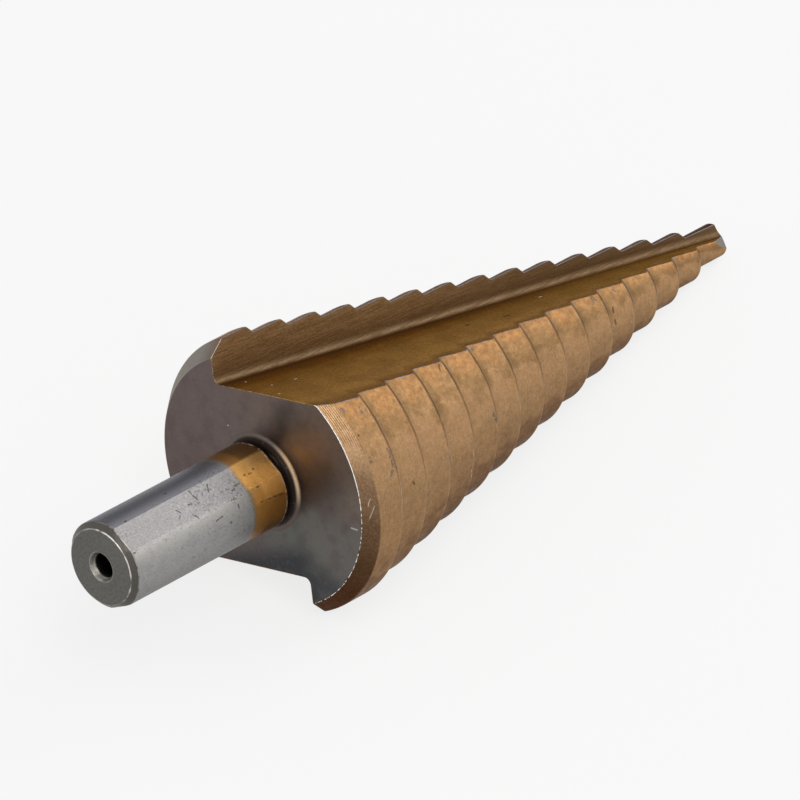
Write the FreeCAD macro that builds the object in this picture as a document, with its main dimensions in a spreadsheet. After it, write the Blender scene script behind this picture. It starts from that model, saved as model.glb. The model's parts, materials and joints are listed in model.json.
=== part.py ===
import FreeCAD, Part

import math
import os

import Sketcher

from FreeCAD import Placement, Rotation, Vector

# A step drill for sheet metal, turned and ground from one bar of high-speed
# steel: fifteen steps from 4 mm to 32 mm on a cone, two straight flutes, and a
# 10 mm shank with three flats. The drill is drawn about its own Z axis, with
# the back face of the cone at Z = 0 and the point upwards. It is then laid
# down as it comes to rest, on the edges of one flute, with its point along +X.

# Driving sizes in millimetres and degrees: alias, value, what it measures
SIZES = [
    ("smallest_diameter", 4.0, "diameter of the first step, at the point"),
    ("diameter_increment", 2.0, "growth in diameter from one step to the next"),
    ("step_count", 15, "number of steps"),
    ("step_pitch", 5.0, "length of a step with the slope that cuts it"),
    ("slope_length", 1.0, "axial length of the slope between two steps"),
    ("pilot_length", 4.75, "length of the first step up to its shoulder"),
    ("point_angle", 135.0, "included angle of the drill point"),
    ("thinning_across", 1.05, "web thinning from the axis, across the cutting face"),
    ("thinning_depth", 0.53, "web thinning from the axis, along the cutting face"),
    ("thinning_turn", 17.4, "turn of the thinned facet away from the cutting face"),
    ("thinning_rise", 0.44, "approach of the thinned facet to the axis for each mm forward"),
    ("rear_step_length", 6.2, "back face to the foot of the largest step's slope"),
    ("chamfer_width", 1.5, "radial width of the chamfer behind the largest step"),
    ("chamfer_length", 1.7, "axial length of that chamfer"),
    ("back_diameter", 28.9, "turned edge of the back face"),
    ("facing_allowance", 1.0, "metal left behind the back face and faced off"),
    ("relief_share", 0.0375, "eccentricity of a ground land, as a share of its radius"),
    ("land_sweep", 250.0, "angle through which each relieved half is ground"),
    ("flute_count", 2, "number of flutes"),
    ("root_across", 2.53, "flute root from the axis, across the cutting face"),
    ("root_depth", 11.43, "flute root from the axis, along the cutting face"),
    ("hook_angle", 15.8, "lean of the cutting face over the flute"),
    ("floor_angle", 13.5, "fall of the flute floor towards the heel"),
    ("root_radius", 0.8, "fillet between cutting face and floor"),
    ("flute_rise", 0.145, "approach of the root to the axis for each mm forward"),
    ("flute_drift", 0.039, "sideways drift of the root for each mm forward"),
    ("shank_diameter", 10.0, "shank across its round parts"),
    ("shank_length", 25.2, "end of the shank to the back face"),
    ("shank_chamfer", 0.64, "chamfer at the end of the shank"),
    ("chamfer_crown", 2.0, "radius to which that chamfer is tumbled"),
    ("undercut_radius", 0.9, "round undercut where the shank meets the back face"),
    ("undercut_depth", 0.15, "depth of the undercut below the shank"),
    ("flat_count", 3, "number of flats on the shank"),
    ("flat_depth", 0.27, "depth of a flat below the round"),
    ("flat_setback", 0.95, "end of the flats short of the back face"),
    ("flat_turn", 87.4, "turn of the first flat from the X axis"),
    ("centre_bore", 2.7, "bore of the lathe centre hole"),
    ("centre_mouth", 3.42, "mouth of the centre hole"),
    ("centre_cone", 60.0, "included angle of the centre hole's cone"),
    ("centre_depth", 4.0, "depth of the centre hole to the end of its bore"),
    ("centre_tip", 118.0, "included angle at the bottom of the centre hole"),
]

# Margin by which a cut overshoots the metal that it removes
OVERSHOOT = 2.0

# In the search for the rest pose: the least share of a land's radius at which
# a corner counts as one of its own, and how near to the ground counts as touching
HEEL_SHARE = 0.9
CONTACT = 0.001

# A sketch's own numbers for its axes and its origin, and for the points of an edge
HORIZONTAL_AXIS, VERTICAL_AXIS = -1, -2
ORIGIN = (-1, 1)
START, END, CENTRE = 1, 2, 3

os.makedirs("parts", exist_ok=True)
doc = FreeCAD.newDocument("StepDrill")

sheet = doc.addObject("Spreadsheet::Sheet", "Sizes")
for row, (alias, value, meaning) in enumerate(SIZES, start=1):
    sheet.set(f"A{row}", alias)
    sheet.set(f"B{row}", str(value))
    sheet.set(f"C{row}", meaning)
    sheet.setAlias(f"B{row}", alias)
doc.recompute()

body = doc.addObject("PartDesign::Body", "step_drill")
body.Label = "step_drill"
body.AllowCompound = False


def number(expression):
    """Value of an expression on the sheet, with the sizes as they are now."""
    return float(sheet.evalExpression(expression))


# Radii and heights that several features share, as expressions on the sheet
STEPS = int(number("Sizes.step_count"))
LARGEST_RADIUS = (
    "(Sizes.smallest_diameter / 2"
    " + (Sizes.step_count - 1) * Sizes.diameter_increment / 2)"
)
CONE_SLOPE = "(Sizes.diameter_increment / 2 / Sizes.step_pitch)"
FIRST_EDGE = "(Sizes.rear_step_length - Sizes.slope_length)"
APEX = f"({FIRST_EDGE} + {LARGEST_RADIUS} / {CONE_SLOPE})"
SHOULDER = (
    "(Sizes.rear_step_length + (Sizes.step_count - 2) * Sizes.step_pitch"
    " + Sizes.pilot_length)"
)
POINT_HEIGHT = "(Sizes.smallest_diameter / 2 / tan(Sizes.point_angle / 2))"
SHANK_RADIUS = "(Sizes.shank_diameter / 2)"
REAR_SLOPE = "(Sizes.chamfer_width / Sizes.chamfer_length)"


def origin_feature(role):
    """The body's own origin plane or axis with this role."""
    for feature in body.Origin.OriginFeatures:
        if feature.Role == role:
            return feature
    raise ValueError(f"no origin feature {role}")


def new_sketch(name, role):
    """A sketch laid flat on one of the body's origin planes."""
    sketch = body.newObject("Sketcher::SketchObject", name)
    sketch.AttachmentSupport = [(origin_feature(role), "")]
    sketch.MapMode = "FlatFace"
    return sketch


def set_point(sketch, edge, end, across, along):
    """Tie one end of an edge to the sketch's origin, across and along."""
    places = [("DistanceX", across, VERTICAL_AXIS), ("DistanceY", along, HORIZONTAL_AXIS)]
    for kind, expression, axis in places:
        if expression == "0":
            sketch.addConstraint(Sketcher.Constraint("PointOnObject", edge, end, axis))
            continue
        place = Sketcher.Constraint(kind, *ORIGIN, edge, end, number(expression))
        index = sketch.addConstraint(place)
        sketch.setExpression(f"Constraints[{index}]", expression)


def short_arc(start, end, radius, clockwise):
    """Short arc from start to end, turning clockwise or not about its centre.

    A sketch keeps every arc anticlockwise, so a clockwise one is stored backwards.
    """
    chord = end - start
    across = Vector(chord.y, -chord.x, 0).normalize()
    if not clockwise:
        across = across.negative()
    inset = math.sqrt(radius**2 - (chord.Length / 2) ** 2)
    centre = start + chord / 2 + across * inset
    first, last = (end, start) if clockwise else (start, end)
    from_angle = math.atan2(first.y - centre.y, first.x - centre.x)
    to_angle = math.atan2(last.y - centre.y, last.x - centre.x)
    return Part.ArcOfCircle(Part.Circle(centre, Vector(0, 0, 1), radius), from_angle, to_angle)


def closed_outline(sketch, corners, clockwise=None, anticlockwise=None):
    """Outline through corners, each a pair of expressions.

    Its sides are straight, apart from the arcs: clockwise and anticlockwise
    each map the number of a side to the radius of the arc that takes its place.
    """
    clockwise = clockwise or {}
    arcs = {**clockwise, **(anticlockwise or {})}
    points = [Vector(number(across), number(along), 0) for across, along in corners]
    count = len(points)
    for i in range(count):
        start = points[i]
        end = points[(i + 1) % count]
        if i in arcs:
            side = short_arc(start, end, number(arcs[i]), i in clockwise)
        else:
            side = Part.LineSegment(start, end)
        sketch.addGeometry(side, False)
    for i in range(count):
        following = (i + 1) % count
        here = START if i in clockwise else END
        there = END if following in clockwise else START
        sketch.addConstraint(Sketcher.Constraint("Coincident", i, here, following, there))
    for i, (across, along) in enumerate(corners):
        set_point(sketch, i, END if i in clockwise else START, across, along)
    for i, radius in arcs.items():
        bend = sketch.addConstraint(Sketcher.Constraint("Radius", i, number(radius)))
        sketch.setExpression(f"Constraints[{bend}]", radius)


def pattern_round(name, feature, count):
    """Repeat a feature round the drill's axis."""
    pattern = body.newObject("PartDesign::PolarPattern", name)
    pattern.Originals = [feature]
    pattern.Axis = (origin_feature("Z_Axis"), [""])
    pattern.Angle = 360
    pattern.setExpression("Occurrences", count)
    body.Tip = pattern
    return pattern


# Relieved halves of the stepped cone. Each half is turned about an axis that
# meets the drill's own at the apex of the cone and leans towards that half's
# lip, so its lands fall away behind the lip in proportion to their radius.
def relieved(radius, height):
    """Radius about the leaning axis that leaves the lip at the given radius."""
    lean = f"Sizes.relief_share * {CONE_SLOPE} * ({APEX} - ({height}))"
    return f"({radius}) - {lean}"


def from_apex(radius, height):
    """Corner of the half's section, measured from the apex of the cone."""
    across = "0" if radius == "0" else relieved(radius, height)
    return across, f"({height}) - {APEX}"


half_section = new_sketch("half_section", "XZ_Plane")
# The axis of the lean is set first, and its angle then follows the sizes
half_section.AttachmentOffset = Placement(Vector(0, 0, 0), Rotation(Vector(1, 0, 0), 1))
half_section.setExpression("AttachmentOffset.Base.y", APEX)
half_section.setExpression(
    "AttachmentOffset.Rotation.Angle", f"atan(Sizes.relief_share * {CONE_SLOPE})"
)
rear_radius = (
    f"{LARGEST_RADIUS} - Sizes.chamfer_width - Sizes.facing_allowance * {REAR_SLOPE}"
)
corners = [
    from_apex("0", "0 - Sizes.facing_allowance"),
    from_apex(rear_radius, "0 - Sizes.facing_allowance"),
    from_apex(LARGEST_RADIUS, "Sizes.chamfer_length"),
]
for step in range(STEPS):
    radius = f"{LARGEST_RADIUS} - {step} * Sizes.diameter_increment / 2"
    if step < STEPS - 1:
        smaller = f"{LARGEST_RADIUS} - {step + 1} * Sizes.diameter_increment / 2"
        edge = f"{FIRST_EDGE} + {step} * Sizes.step_pitch"
        corners.append(from_apex(radius, edge))
        corners.append(from_apex(smaller, f"{edge} + Sizes.slope_length"))
    else:
        corners.append(from_apex(radius, SHOULDER))
corners.append(from_apex("0", f"{SHOULDER} + {POINT_HEIGHT}"))
closed_outline(half_section, corners)

half = body.newObject("PartDesign::Revolution", "relieved_half")
half.Profile = half_section
half.ReferenceAxis = (half_section, ["V_Axis"])
half.Midplane = True
half.setExpression("Angle", "Sizes.land_sweep")
pattern_round("relieved_halves", half, "Sizes.flute_count")

# The back is faced flat, so that nothing stands behind the back face
facing_section = new_sketch("facing_section", "XZ_Plane")
closed_outline(
    facing_section,
    [
        ("0", "0"),
        (f"{LARGEST_RADIUS} + {OVERSHOOT}", "0"),
        (f"{LARGEST_RADIUS} + {OVERSHOOT}", f"-{OVERSHOOT}"),
        ("0", f"-{OVERSHOOT}"),
    ],
)
facing = body.newObject("PartDesign::Groove", "back_facing")
facing.Profile = facing_section
facing.ReferenceAxis = (facing_section, ["V_Axis"])
facing.Angle = 360

# The shank with its chamfered end, the round undercut at its root and the
# turned disc of the back face, in one section. Tumbling has left the chamfer
# a little round. The undercut is an arc that starts on the shank and runs out
# flush with the back face.
UNDERCUT_CENTRE = f"({SHANK_RADIUS} - Sizes.undercut_depth + Sizes.undercut_radius)"
UNDERCUT_START = (
    "(0 - Sizes.undercut_radius - sqrt(pow(Sizes.undercut_radius; 2)"
    " - pow(Sizes.undercut_radius - Sizes.undercut_depth; 2)))"
)
shank_corners = [
    ("0", "0 - Sizes.shank_length"),
    (f"{SHANK_RADIUS} - Sizes.shank_chamfer", "0 - Sizes.shank_length"),
    (SHANK_RADIUS, "0 - Sizes.shank_length + Sizes.shank_chamfer"),
    (SHANK_RADIUS, UNDERCUT_START),
    (UNDERCUT_CENTRE, "0"),
    ("Sizes.back_diameter / 2", "0"),
    ("Sizes.back_diameter / 2", "Sizes.chamfer_length"),
    ("0", "Sizes.chamfer_length"),
]
shank_section = new_sketch("shank_section", "XZ_Plane")
closed_outline(
    shank_section,
    shank_corners,
    clockwise={3: "Sizes.undercut_radius"},
    anticlockwise={1: "Sizes.chamfer_crown"},
)
shank = body.newObject("PartDesign::Revolution", "shank_and_disc")
shank.Profile = shank_section
shank.ReferenceAxis = (shank_section, ["V_Axis"])
shank.Angle = 360

# Flutes. The section on the back face is an L: the cutting face, which leans
# over the flute, a fillet at the root, and a floor that falls to the heel. The
# wheel runs it forward along the root, which closes on the axis as the cone
# narrows and leaves a thin web at the point.
ROOT_CORNER = "(90 - Sizes.hook_angle + Sizes.floor_angle)"
TANGENT = f"(Sizes.root_radius / tan({ROOT_CORNER} / 2))"
WALL_LENGTH = f"({LARGEST_RADIUS} + {OVERSHOOT})"
FLOOR_LENGTH = f"(2 * {LARGEST_RADIUS})"


def on_wall(length):
    """Point of the cutting face at a length from the corner at its root."""
    across = f"Sizes.root_across - ({length}) * sin(Sizes.hook_angle)"
    along = f"Sizes.root_depth + ({length}) * cos(Sizes.hook_angle)"
    return across, along


def on_floor(length):
    """Point of the floor at a length from the corner at its root."""
    across = f"Sizes.root_across - ({length}) * cos(Sizes.floor_angle)"
    along = f"Sizes.root_depth - ({length}) * sin(Sizes.floor_angle)"
    return across, along


wall_top = on_wall(WALL_LENGTH)
floor_end = on_floor(FLOOR_LENGTH)
flute_section = new_sketch("flute_section", "XY_Plane")
closed_outline(
    flute_section,
    [wall_top, on_wall(TANGENT), on_floor(TANGENT), floor_end, (floor_end[0], wall_top[1])],
    clockwise={1: "Sizes.root_radius"},
)
flute = body.newObject("PartDesign::Pocket", "flute")
flute.Profile = flute_section
flute.Type = "Length"
flute.UseCustomVector = True
flute.AlongSketchNormal = True
flute.Direction = Vector(0, 0, 1)
flute.setExpression("Direction.x", "0 - Sizes.flute_drift")
flute.setExpression("Direction.y", "0 - Sizes.flute_rise")
flute.setExpression("Length", f"{SHOULDER} + {POINT_HEIGHT} + {OVERSHOOT}")
pattern_round("flutes", flute, "Sizes.flute_count")

# Web thinning. At the point a wheel's square corner has ground a facet down the
# heel side of each flute, which leaves a shorter edge across the web. The wheel
# comes in steeply, from clear of the first step to past the point.
THINNING_LENGTH = "Sizes.pilot_length"
THINNING_SIDE = "Sizes.smallest_diameter"


def on_facet(outward, along):
    """Point of the thinning's section, outward and along the facet from its corner."""
    corner = f"(Sizes.thinning_across + Sizes.thinning_rise * {THINNING_LENGTH})"
    outward_part = f"({outward}) * cos(Sizes.thinning_turn)"
    across = f"0 - {corner} - {outward_part} - ({along}) * sin(Sizes.thinning_turn)"
    depth_part = f"({outward}) * sin(Sizes.thinning_turn)"
    depth = f"Sizes.thinning_depth + {depth_part} - ({along}) * cos(Sizes.thinning_turn)"
    return across, depth


thinning_section = new_sketch("thinning_section", "XY_Plane")
thinning_section.setExpression("AttachmentOffset.Base.z", f"{SHOULDER} - {THINNING_LENGTH}")
closed_outline(
    thinning_section,
    [
        on_facet("0", "0"),
        on_facet("0", THINNING_SIDE),
        on_facet(THINNING_SIDE, THINNING_SIDE),
        on_facet(THINNING_SIDE, "0"),
    ],
)
thinning = body.newObject("PartDesign::Pocket", "web_thinning")
thinning.Profile = thinning_section
thinning.Type = "Length"
thinning.UseCustomVector = True
thinning.AlongSketchNormal = True
thinning.Direction = Vector(0, 0, 1)
thinning.setExpression("Direction.x", "Sizes.thinning_rise")
thinning.setExpression("Length", f"{THINNING_LENGTH} + {POINT_HEIGHT} + {OVERSHOOT}")
pattern_round("web_thinnings", thinning, "Sizes.flute_count")

# Three flats on the shank, for the jaws of a chuck. They run from the end of
# the shank through the undercut, and stop just short of the back face.
FLAT_RADIUS = f"({SHANK_RADIUS} - Sizes.flat_depth)"


def round_flat(outward, sideways):
    """Point in the plane across the shank, turned to face the first flat."""
    across = f"({outward}) * cos(Sizes.flat_turn) - ({sideways}) * sin(Sizes.flat_turn)"
    along = f"({outward}) * sin(Sizes.flat_turn) + ({sideways}) * cos(Sizes.flat_turn)"
    return across, along


flat_section = new_sketch("flat_section", "XY_Plane")
flat_section.setExpression("AttachmentOffset.Base.z", "0 - Sizes.flat_setback")
closed_outline(
    flat_section,
    [
        round_flat(FLAT_RADIUS, f"0 - {SHANK_RADIUS}"),
        round_flat(f"{SHANK_RADIUS} + {OVERSHOOT}", f"0 - {SHANK_RADIUS}"),
        round_flat(f"{SHANK_RADIUS} + {OVERSHOOT}", SHANK_RADIUS),
        round_flat(FLAT_RADIUS, SHANK_RADIUS),
    ],
)
flat = body.newObject("PartDesign::Pocket", "shank_flat")
flat.Profile = flat_section
flat.Type = "Length"
flat.setExpression("Length", f"Sizes.shank_length + {OVERSHOOT}")
pattern_round("shank_flats", flat, "Sizes.flat_count")

# Centre hole in the end of the shank, left from turning between centres
centre_mark = new_sketch("centre_mark", "XY_Plane")
centre_mark.setExpression("AttachmentOffset.Base.z", "0 - Sizes.shank_length")
centre_mark.addGeometry(Part.Circle(Vector(0, 0, 0), Vector(0, 0, 1), 1), False)
centre_mark.addConstraint(Sketcher.Constraint("Coincident", 0, CENTRE, *ORIGIN))
bore_size = centre_mark.addConstraint(Sketcher.Constraint("Diameter", 0, 1.0))
centre_mark.setExpression(f"Constraints[{bore_size}]", "Sizes.centre_bore")
doc.recompute()

centre_hole = body.newObject("PartDesign::Hole", "centre_hole")
centre_hole.Profile = centre_mark
centre_hole.Reversed = True
centre_hole.DepthType = "Dimension"
centre_hole.setExpression("Diameter", "Sizes.centre_bore")
centre_hole.setExpression("Depth", "Sizes.centre_depth")
centre_hole.HoleCutType = "Countersink"
centre_hole.HoleCutCustomValues = True
centre_hole.setExpression("HoleCutDiameter", "Sizes.centre_mouth")
centre_hole.setExpression("HoleCutCountersinkAngle", "Sizes.centre_cone")
centre_hole.DrillPoint = "Angled"
centre_hole.setExpression("DrillPointAngle", "Sizes.centre_tip")
doc.recompute()
body.Tip = centre_hole
doc.recompute()


# Rest pose. The drill lies with its first flute down on three corners: the
# lip and the heel of the largest step, on either side of that flute, and a
# corner of the smallest step, at the point.
def ground_corners(solid, height, radius):
    """Corners of the lands at one height, where lips and heels end."""
    near = number("Sizes.slope_length") / 2
    corners = []
    for vertex in solid.Vertexes:
        point = vertex.Point
        across = math.hypot(point.x, point.y)
        if abs(point.z - height) < near and across > HEEL_SHARE * radius:
            corners.append(point)
    return corners


def resting_normal(solid):
    """Direction, in the drill's own frame, that points down at rest."""
    largest = number(LARGEST_RADIUS)
    smallest = number("Sizes.smallest_diameter / 2")
    rear_corners = ground_corners(solid, number(FIRST_EDGE), largest)
    front_corners = ground_corners(solid, number(SHOULDER), smallest)
    lip, heel = [corner for corner in rear_corners if corner.y > 0]
    for front in front_corners:
        normal = (heel - lip).cross(front - lip).normalize()
        if normal.y < 0:
            normal = normal.negative()
        heights = [normal.dot(lip - corner) for corner in front_corners]
        if min(heights) > -CONTACT:
            return normal
    raise ValueError("the drill finds no rest on its first flute")


def rest_placement(solid):
    """Placement that stands the solid on Z = 0 with its axis over the X axis."""
    down = resting_normal(solid)
    up = down.negative()
    forward = Vector(0, 0, 1)
    forward = (forward - down * forward.dot(down)).normalize()
    turn = Rotation(forward, up.cross(forward), up).inverted()
    turned = solid.copy()
    turned.Placement = Placement(Vector(0, 0, 0), turn)
    box = turned.optimalBoundingBox(False)
    middle = Vector(box.Center.x, box.Center.y, box.ZMin)
    return Placement(middle.negative(), turn)


body.Placement = rest_placement(body.Shape)
doc.recompute()

# Nothing is written unless every feature and the finished solid are sound
for obj in doc.Objects:
    if "Invalid" in obj.State or "Error" in obj.State:
        raise RuntimeError(f"{obj.Name} failed: {obj.State}")
shape = body.Shape
if shape.isNull() or not shape.isValid() or len(shape.Solids) != 1:
    raise RuntimeError("the drill is not one valid solid")
cuts = [("back_facing", "relieved_halves"), ("flutes", "shank_and_disc")]
cuts += [("web_thinnings", "flutes"), ("shank_flats", "web_thinnings")]
cuts += [("centre_hole", "shank_flats")]
for after, before in cuts:
    removed = doc.getObject(before).Shape.Volume - doc.getObject(after).Shape.Volume
    if removed <= 0:
        raise RuntimeError(f"{after} removed no metal")

box = shape.optimalBoundingBox(False)
print(f"{body.Label}: {shape.Volume:.0f} mm3")
print(f"box {box.XLength:.2f} x {box.YLength:.2f} x {box.ZLength:.2f} mm")
shape.exportStep(f"parts/{body.Label}.step")
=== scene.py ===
import json
import math

import bpy
import numpy as np
from mathutils import Matrix, Vector


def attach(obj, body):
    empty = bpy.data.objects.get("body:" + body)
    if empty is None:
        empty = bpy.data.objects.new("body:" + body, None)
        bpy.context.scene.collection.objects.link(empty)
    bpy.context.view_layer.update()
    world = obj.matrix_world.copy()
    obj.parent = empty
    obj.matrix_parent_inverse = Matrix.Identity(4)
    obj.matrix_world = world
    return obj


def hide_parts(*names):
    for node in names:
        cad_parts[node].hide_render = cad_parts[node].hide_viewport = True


# A step drill for sheet metal, lying on a pale table on the edges of one flute.
# It is one piece of high-speed steel. The scene goes from the camera and the
# studio to the stepped cone, and then to the shank.

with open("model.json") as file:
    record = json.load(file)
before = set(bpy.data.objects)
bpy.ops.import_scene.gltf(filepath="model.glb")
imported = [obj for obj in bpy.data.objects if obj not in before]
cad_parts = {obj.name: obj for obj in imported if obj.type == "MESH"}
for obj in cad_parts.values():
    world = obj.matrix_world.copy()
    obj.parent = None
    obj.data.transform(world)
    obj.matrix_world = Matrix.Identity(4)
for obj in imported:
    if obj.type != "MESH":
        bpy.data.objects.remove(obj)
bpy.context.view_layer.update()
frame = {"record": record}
MM = 0.001

# Camera. It looks down on the shank's end from 41 degrees, from far off with a
# long lens, so the far steps look hardly smaller than the near ones.
AIM = Vector((-10.919, -7.026, 20.491)) * MM
CAMERA_DISTANCE = 0.8973
CAMERA_AZIMUTH = math.radians(-138.03)
CAMERA_ELEVATION = math.radians(40.959)
CAMERA_ROLL = math.radians(0.83)
LENS = 374.5

toward_camera = Vector((
    math.cos(CAMERA_ELEVATION) * math.cos(CAMERA_AZIMUTH),
    math.cos(CAMERA_ELEVATION) * math.sin(CAMERA_AZIMUTH),
    math.sin(CAMERA_ELEVATION),
))
camera_data = bpy.data.cameras.new("camera")
camera_data.lens = LENS
camera = bpy.data.objects.new("camera", camera_data)
level = toward_camera.to_track_quat("Z", "Y").to_matrix()
rolled = level @ Matrix.Rotation(CAMERA_ROLL, 3, "Z")
camera.matrix_world = Matrix.Translation(AIM + CAMERA_DISTANCE * toward_camera) @ rolled.to_4x4()
bpy.context.collection.objects.link(camera)
bpy.context.scene.camera = camera
bpy.context.scene.view_settings.view_transform = "Standard"


# Studio. A pale table and a white surround. A broad soft box stands to the
# right, a low one beyond the end of the shank and a weak one overhead. A dark
# card behind the drill is seen only in the metal, and darkens what faces up.
FLOOR_HALF = 1.5
FLOOR_COLOUR = (0.80, 0.80, 0.80, 1.0)
FLOOR_LIFT = 0.80
SURROUND_LIGHT = 0.50
SOFT_BOXES = [
    ("right_box", 4.0, 0.80, (0.85, -0.25, 0.65)),
    ("low_box", 1.6, 0.45, (-0.95, 0.28, 0.10)),
    ("top_box", 3.0, 0.60, (-0.30, -0.45, 1.00)),
]
CARD_COLOUR = (0.05, 0.05, 0.055, 1.0)
CARD_PLACE = Vector((0.40, 0.48, 0.12))
CARD_HALF = (0.42, 0.26)


def wired(tree, kind, inputs=None, **settings):
    """A new node with its settings made, and its inputs set or linked by name.

    An input is a number, a colour, a socket, or a reading, which carries its socket.
    """
    node = tree.nodes.new(kind)
    for name, value in settings.items():
        setattr(node, name, value)
    for name, value in (inputs or {}).items():
        value = getattr(value, "socket", value)
        if isinstance(value, bpy.types.NodeSocket):
            tree.links.new(value, node.inputs[name])
        else:
            node.inputs[name].default_value = value
    return node


def sum_of(tree, operation, first, second):
    """One step of arithmetic on two numbers, either of which may be linked."""
    return wired(tree, "ShaderNodeMath", {0: first, 1: second}, operation=operation).outputs[0]


def seen_directly(tree):
    """1 for a ray from the camera, off a glossy surface or through glass, else 0."""
    path = wired(tree, "ShaderNodeLightPath").outputs
    either = sum_of(tree, "MAXIMUM", path["Is Camera Ray"], path["Is Glossy Ray"])
    return sum_of(tree, "MAXIMUM", either, path["Is Transmission Ray"])


surround = bpy.data.worlds.new("surround")
surround.use_nodes = True
sky = surround.node_tree
brightness = wired(
    sky, "ShaderNodeMapRange",
    {"Value": seen_directly(sky), "To Min": SURROUND_LIGHT, "To Max": 1.0},
)
backdrop = sky.nodes["Background"]
backdrop.inputs["Color"].default_value = (1.0, 1.0, 1.0, 1.0)
sky.links.new(brightness.outputs["Result"], backdrop.inputs["Strength"])
bpy.context.scene.world = surround

for name, power, width, place in SOFT_BOXES:
    lamp_data = bpy.data.lights.new(name, "AREA")
    lamp_data.shape = "SQUARE"
    lamp_data.size = width
    lamp_data.energy = power
    lamp = bpy.data.objects.new(name, lamp_data)
    lamp.matrix_world = (
        Matrix.Translation(place) @ Vector(place).to_track_quat("Z", "Y").to_matrix().to_4x4()
    )
    bpy.context.collection.objects.link(lamp)


def flat_sheet(name, centre, half_across, half_up):
    """A stage rectangle: centre, plus and minus two half sides."""
    centre, half_across, half_up = Vector(centre), Vector(half_across), Vector(half_up)
    mesh = bpy.data.meshes.new(name)
    signs = ((-1, -1), (1, -1), (1, 1), (-1, 1))
    corners = [centre + a * half_across + b * half_up for a, b in signs]
    mesh.from_pydata(corners, [], [(0, 1, 2, 3)])
    sheet = bpy.data.objects.new(name, mesh)
    bpy.context.collection.objects.link(sheet)
    return sheet


def plain_finish(name, colour, roughness):
    """A material of one colour, for the stage."""
    material = bpy.data.materials.new(name)
    material.use_nodes = True
    surface = material.node_tree.nodes["Principled BSDF"]
    surface.inputs["Base Color"].default_value = colour
    surface.inputs["Roughness"].default_value = roughness
    return material


floor = flat_sheet("floor", (0, 0, 0), (FLOOR_HALF, 0, 0), (0, FLOOR_HALF, 0))
table_top = plain_finish("pale_table", FLOOR_COLOUR, 0.9)
table = table_top.node_tree
glow = wired(table, "ShaderNodeEmission", {"Color": (1.0, 1.0, 1.0, 1.0), "Strength": 1.0})
lit_table = wired(
    table, "ShaderNodeMixShader",
    {
        0: sum_of(table, "MULTIPLY", seen_directly(table), FLOOR_LIFT),
        1: table.nodes["Principled BSDF"].outputs[0],
        2: glow.outputs[0],
    },
)
table.links.new(lit_table.outputs[0], table.nodes["Material Output"].inputs["Surface"])
floor.data.materials.append(table_top)

across_card = Vector((-CARD_PLACE.y, CARD_PLACE.x, 0)).normalized() * CARD_HALF[0]
card = flat_sheet("dark_card", CARD_PLACE, across_card, (0, 0, CARD_HALF[1]))
card.data.materials.append(plain_finish("dark_felt", CARD_COLOUR, 1.0))
card.visible_camera = False
card.visible_diffuse = False
card.visible_shadow = False


# Stepped cone. Turned and then ground from high-speed steel, with two flutes
# milled along it, a chamfer at the back and fifteen lands, each ground to fall
# away behind its lip. It has a gold coat, worn bare in places.

# Its sizes in millimetres about its own axis, with the back face at z = 0, before
# it is laid down. The last is how worn a corner is across its curve.
LARGEST_RADIUS = 16.0
STEP_RISE = 1.0
STEP_COUNT = 15
STEP_PITCH = 5.0
FIRST_EDGE = 5.2
PILOT_LENGTH = 4.75
POINT_HEIGHT = 0.828
BACK_RADIUS = 14.45
BACK_ROW_INSET = 0.5
CHAMFER_LENGTH = 1.7
APEX = FIRST_EDGE + LARGEST_RADIUS * STEP_PITCH / STEP_RISE
RELIEF_SHARE = 0.0375
RELIEF = RELIEF_SHARE * STEP_RISE / STEP_PITCH
ROOT = np.array([2.53, 11.43, 0.0])
HOOK = math.radians(15.8)
FALL = math.radians(13.5)
ROOT_FILLET = 0.8
FLUTE_RUN = np.array([-0.039, -0.145, 1.0])
LIP_WEAR = 0.07
HEEL_WEAR = 0.14
CREST_WEAR = 0.28
VALLEY_WEAR = 0.14
BACK_WEAR = 0.07
CHAMFER_WEAR = 0.22
SUPPORT = 0.10
POINT_WEAR = 0.08
THINNING_ACROSS = 1.05
THINNING_DEPTH = 0.53
THINNING_TURN = math.radians(17.4)
THINNING_RISE = 0.44
FACET_REACH = 0.03
TIP_SHARE = 0.03
WORN_CURVE = (0.5, 0.9, 1.0, 0.9, 0.5)

# How the drill lies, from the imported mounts: the shank's mount faces back along
# the axis from half way down it, and the first flat's faces out across the axis
SHANK_LENGTH = 25.2
FLAT_TURN = math.radians(87.4)
mounts = {mount["name"]: mount for mount in frame["record"]["mounts"]}
drill_axis = -Vector(mounts["shank"]["axis"])
BACK_FACE_PLACE = Vector(mounts["shank"]["pos_m"]) / MM + drill_axis * SHANK_LENGTH / 2
across_way = Matrix.Rotation(-FLAT_TURN, 3, drill_axis) @ Vector(mounts["jaw_flat_1"]["axis"])
LAID = Matrix((across_way, drill_axis.cross(across_way), drill_axis)).transposed()


def laid_down(points):
    """Points of the drill's own frame, in mm, carried to the table, in metres.

    Each is (LAID p + place of the back face) x 0.001.
    """
    return (points @ np.array(LAID).T + np.array(BACK_FACE_PLACE)) * MM


def rounded(start, corner, end, t):
    """The curve (1-t)^2 start + 2t(1-t) corner + t^2 end."""
    return (1 - t) ** 2 * start + 2 * t * (1 - t) * corner + t**2 * end


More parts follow.
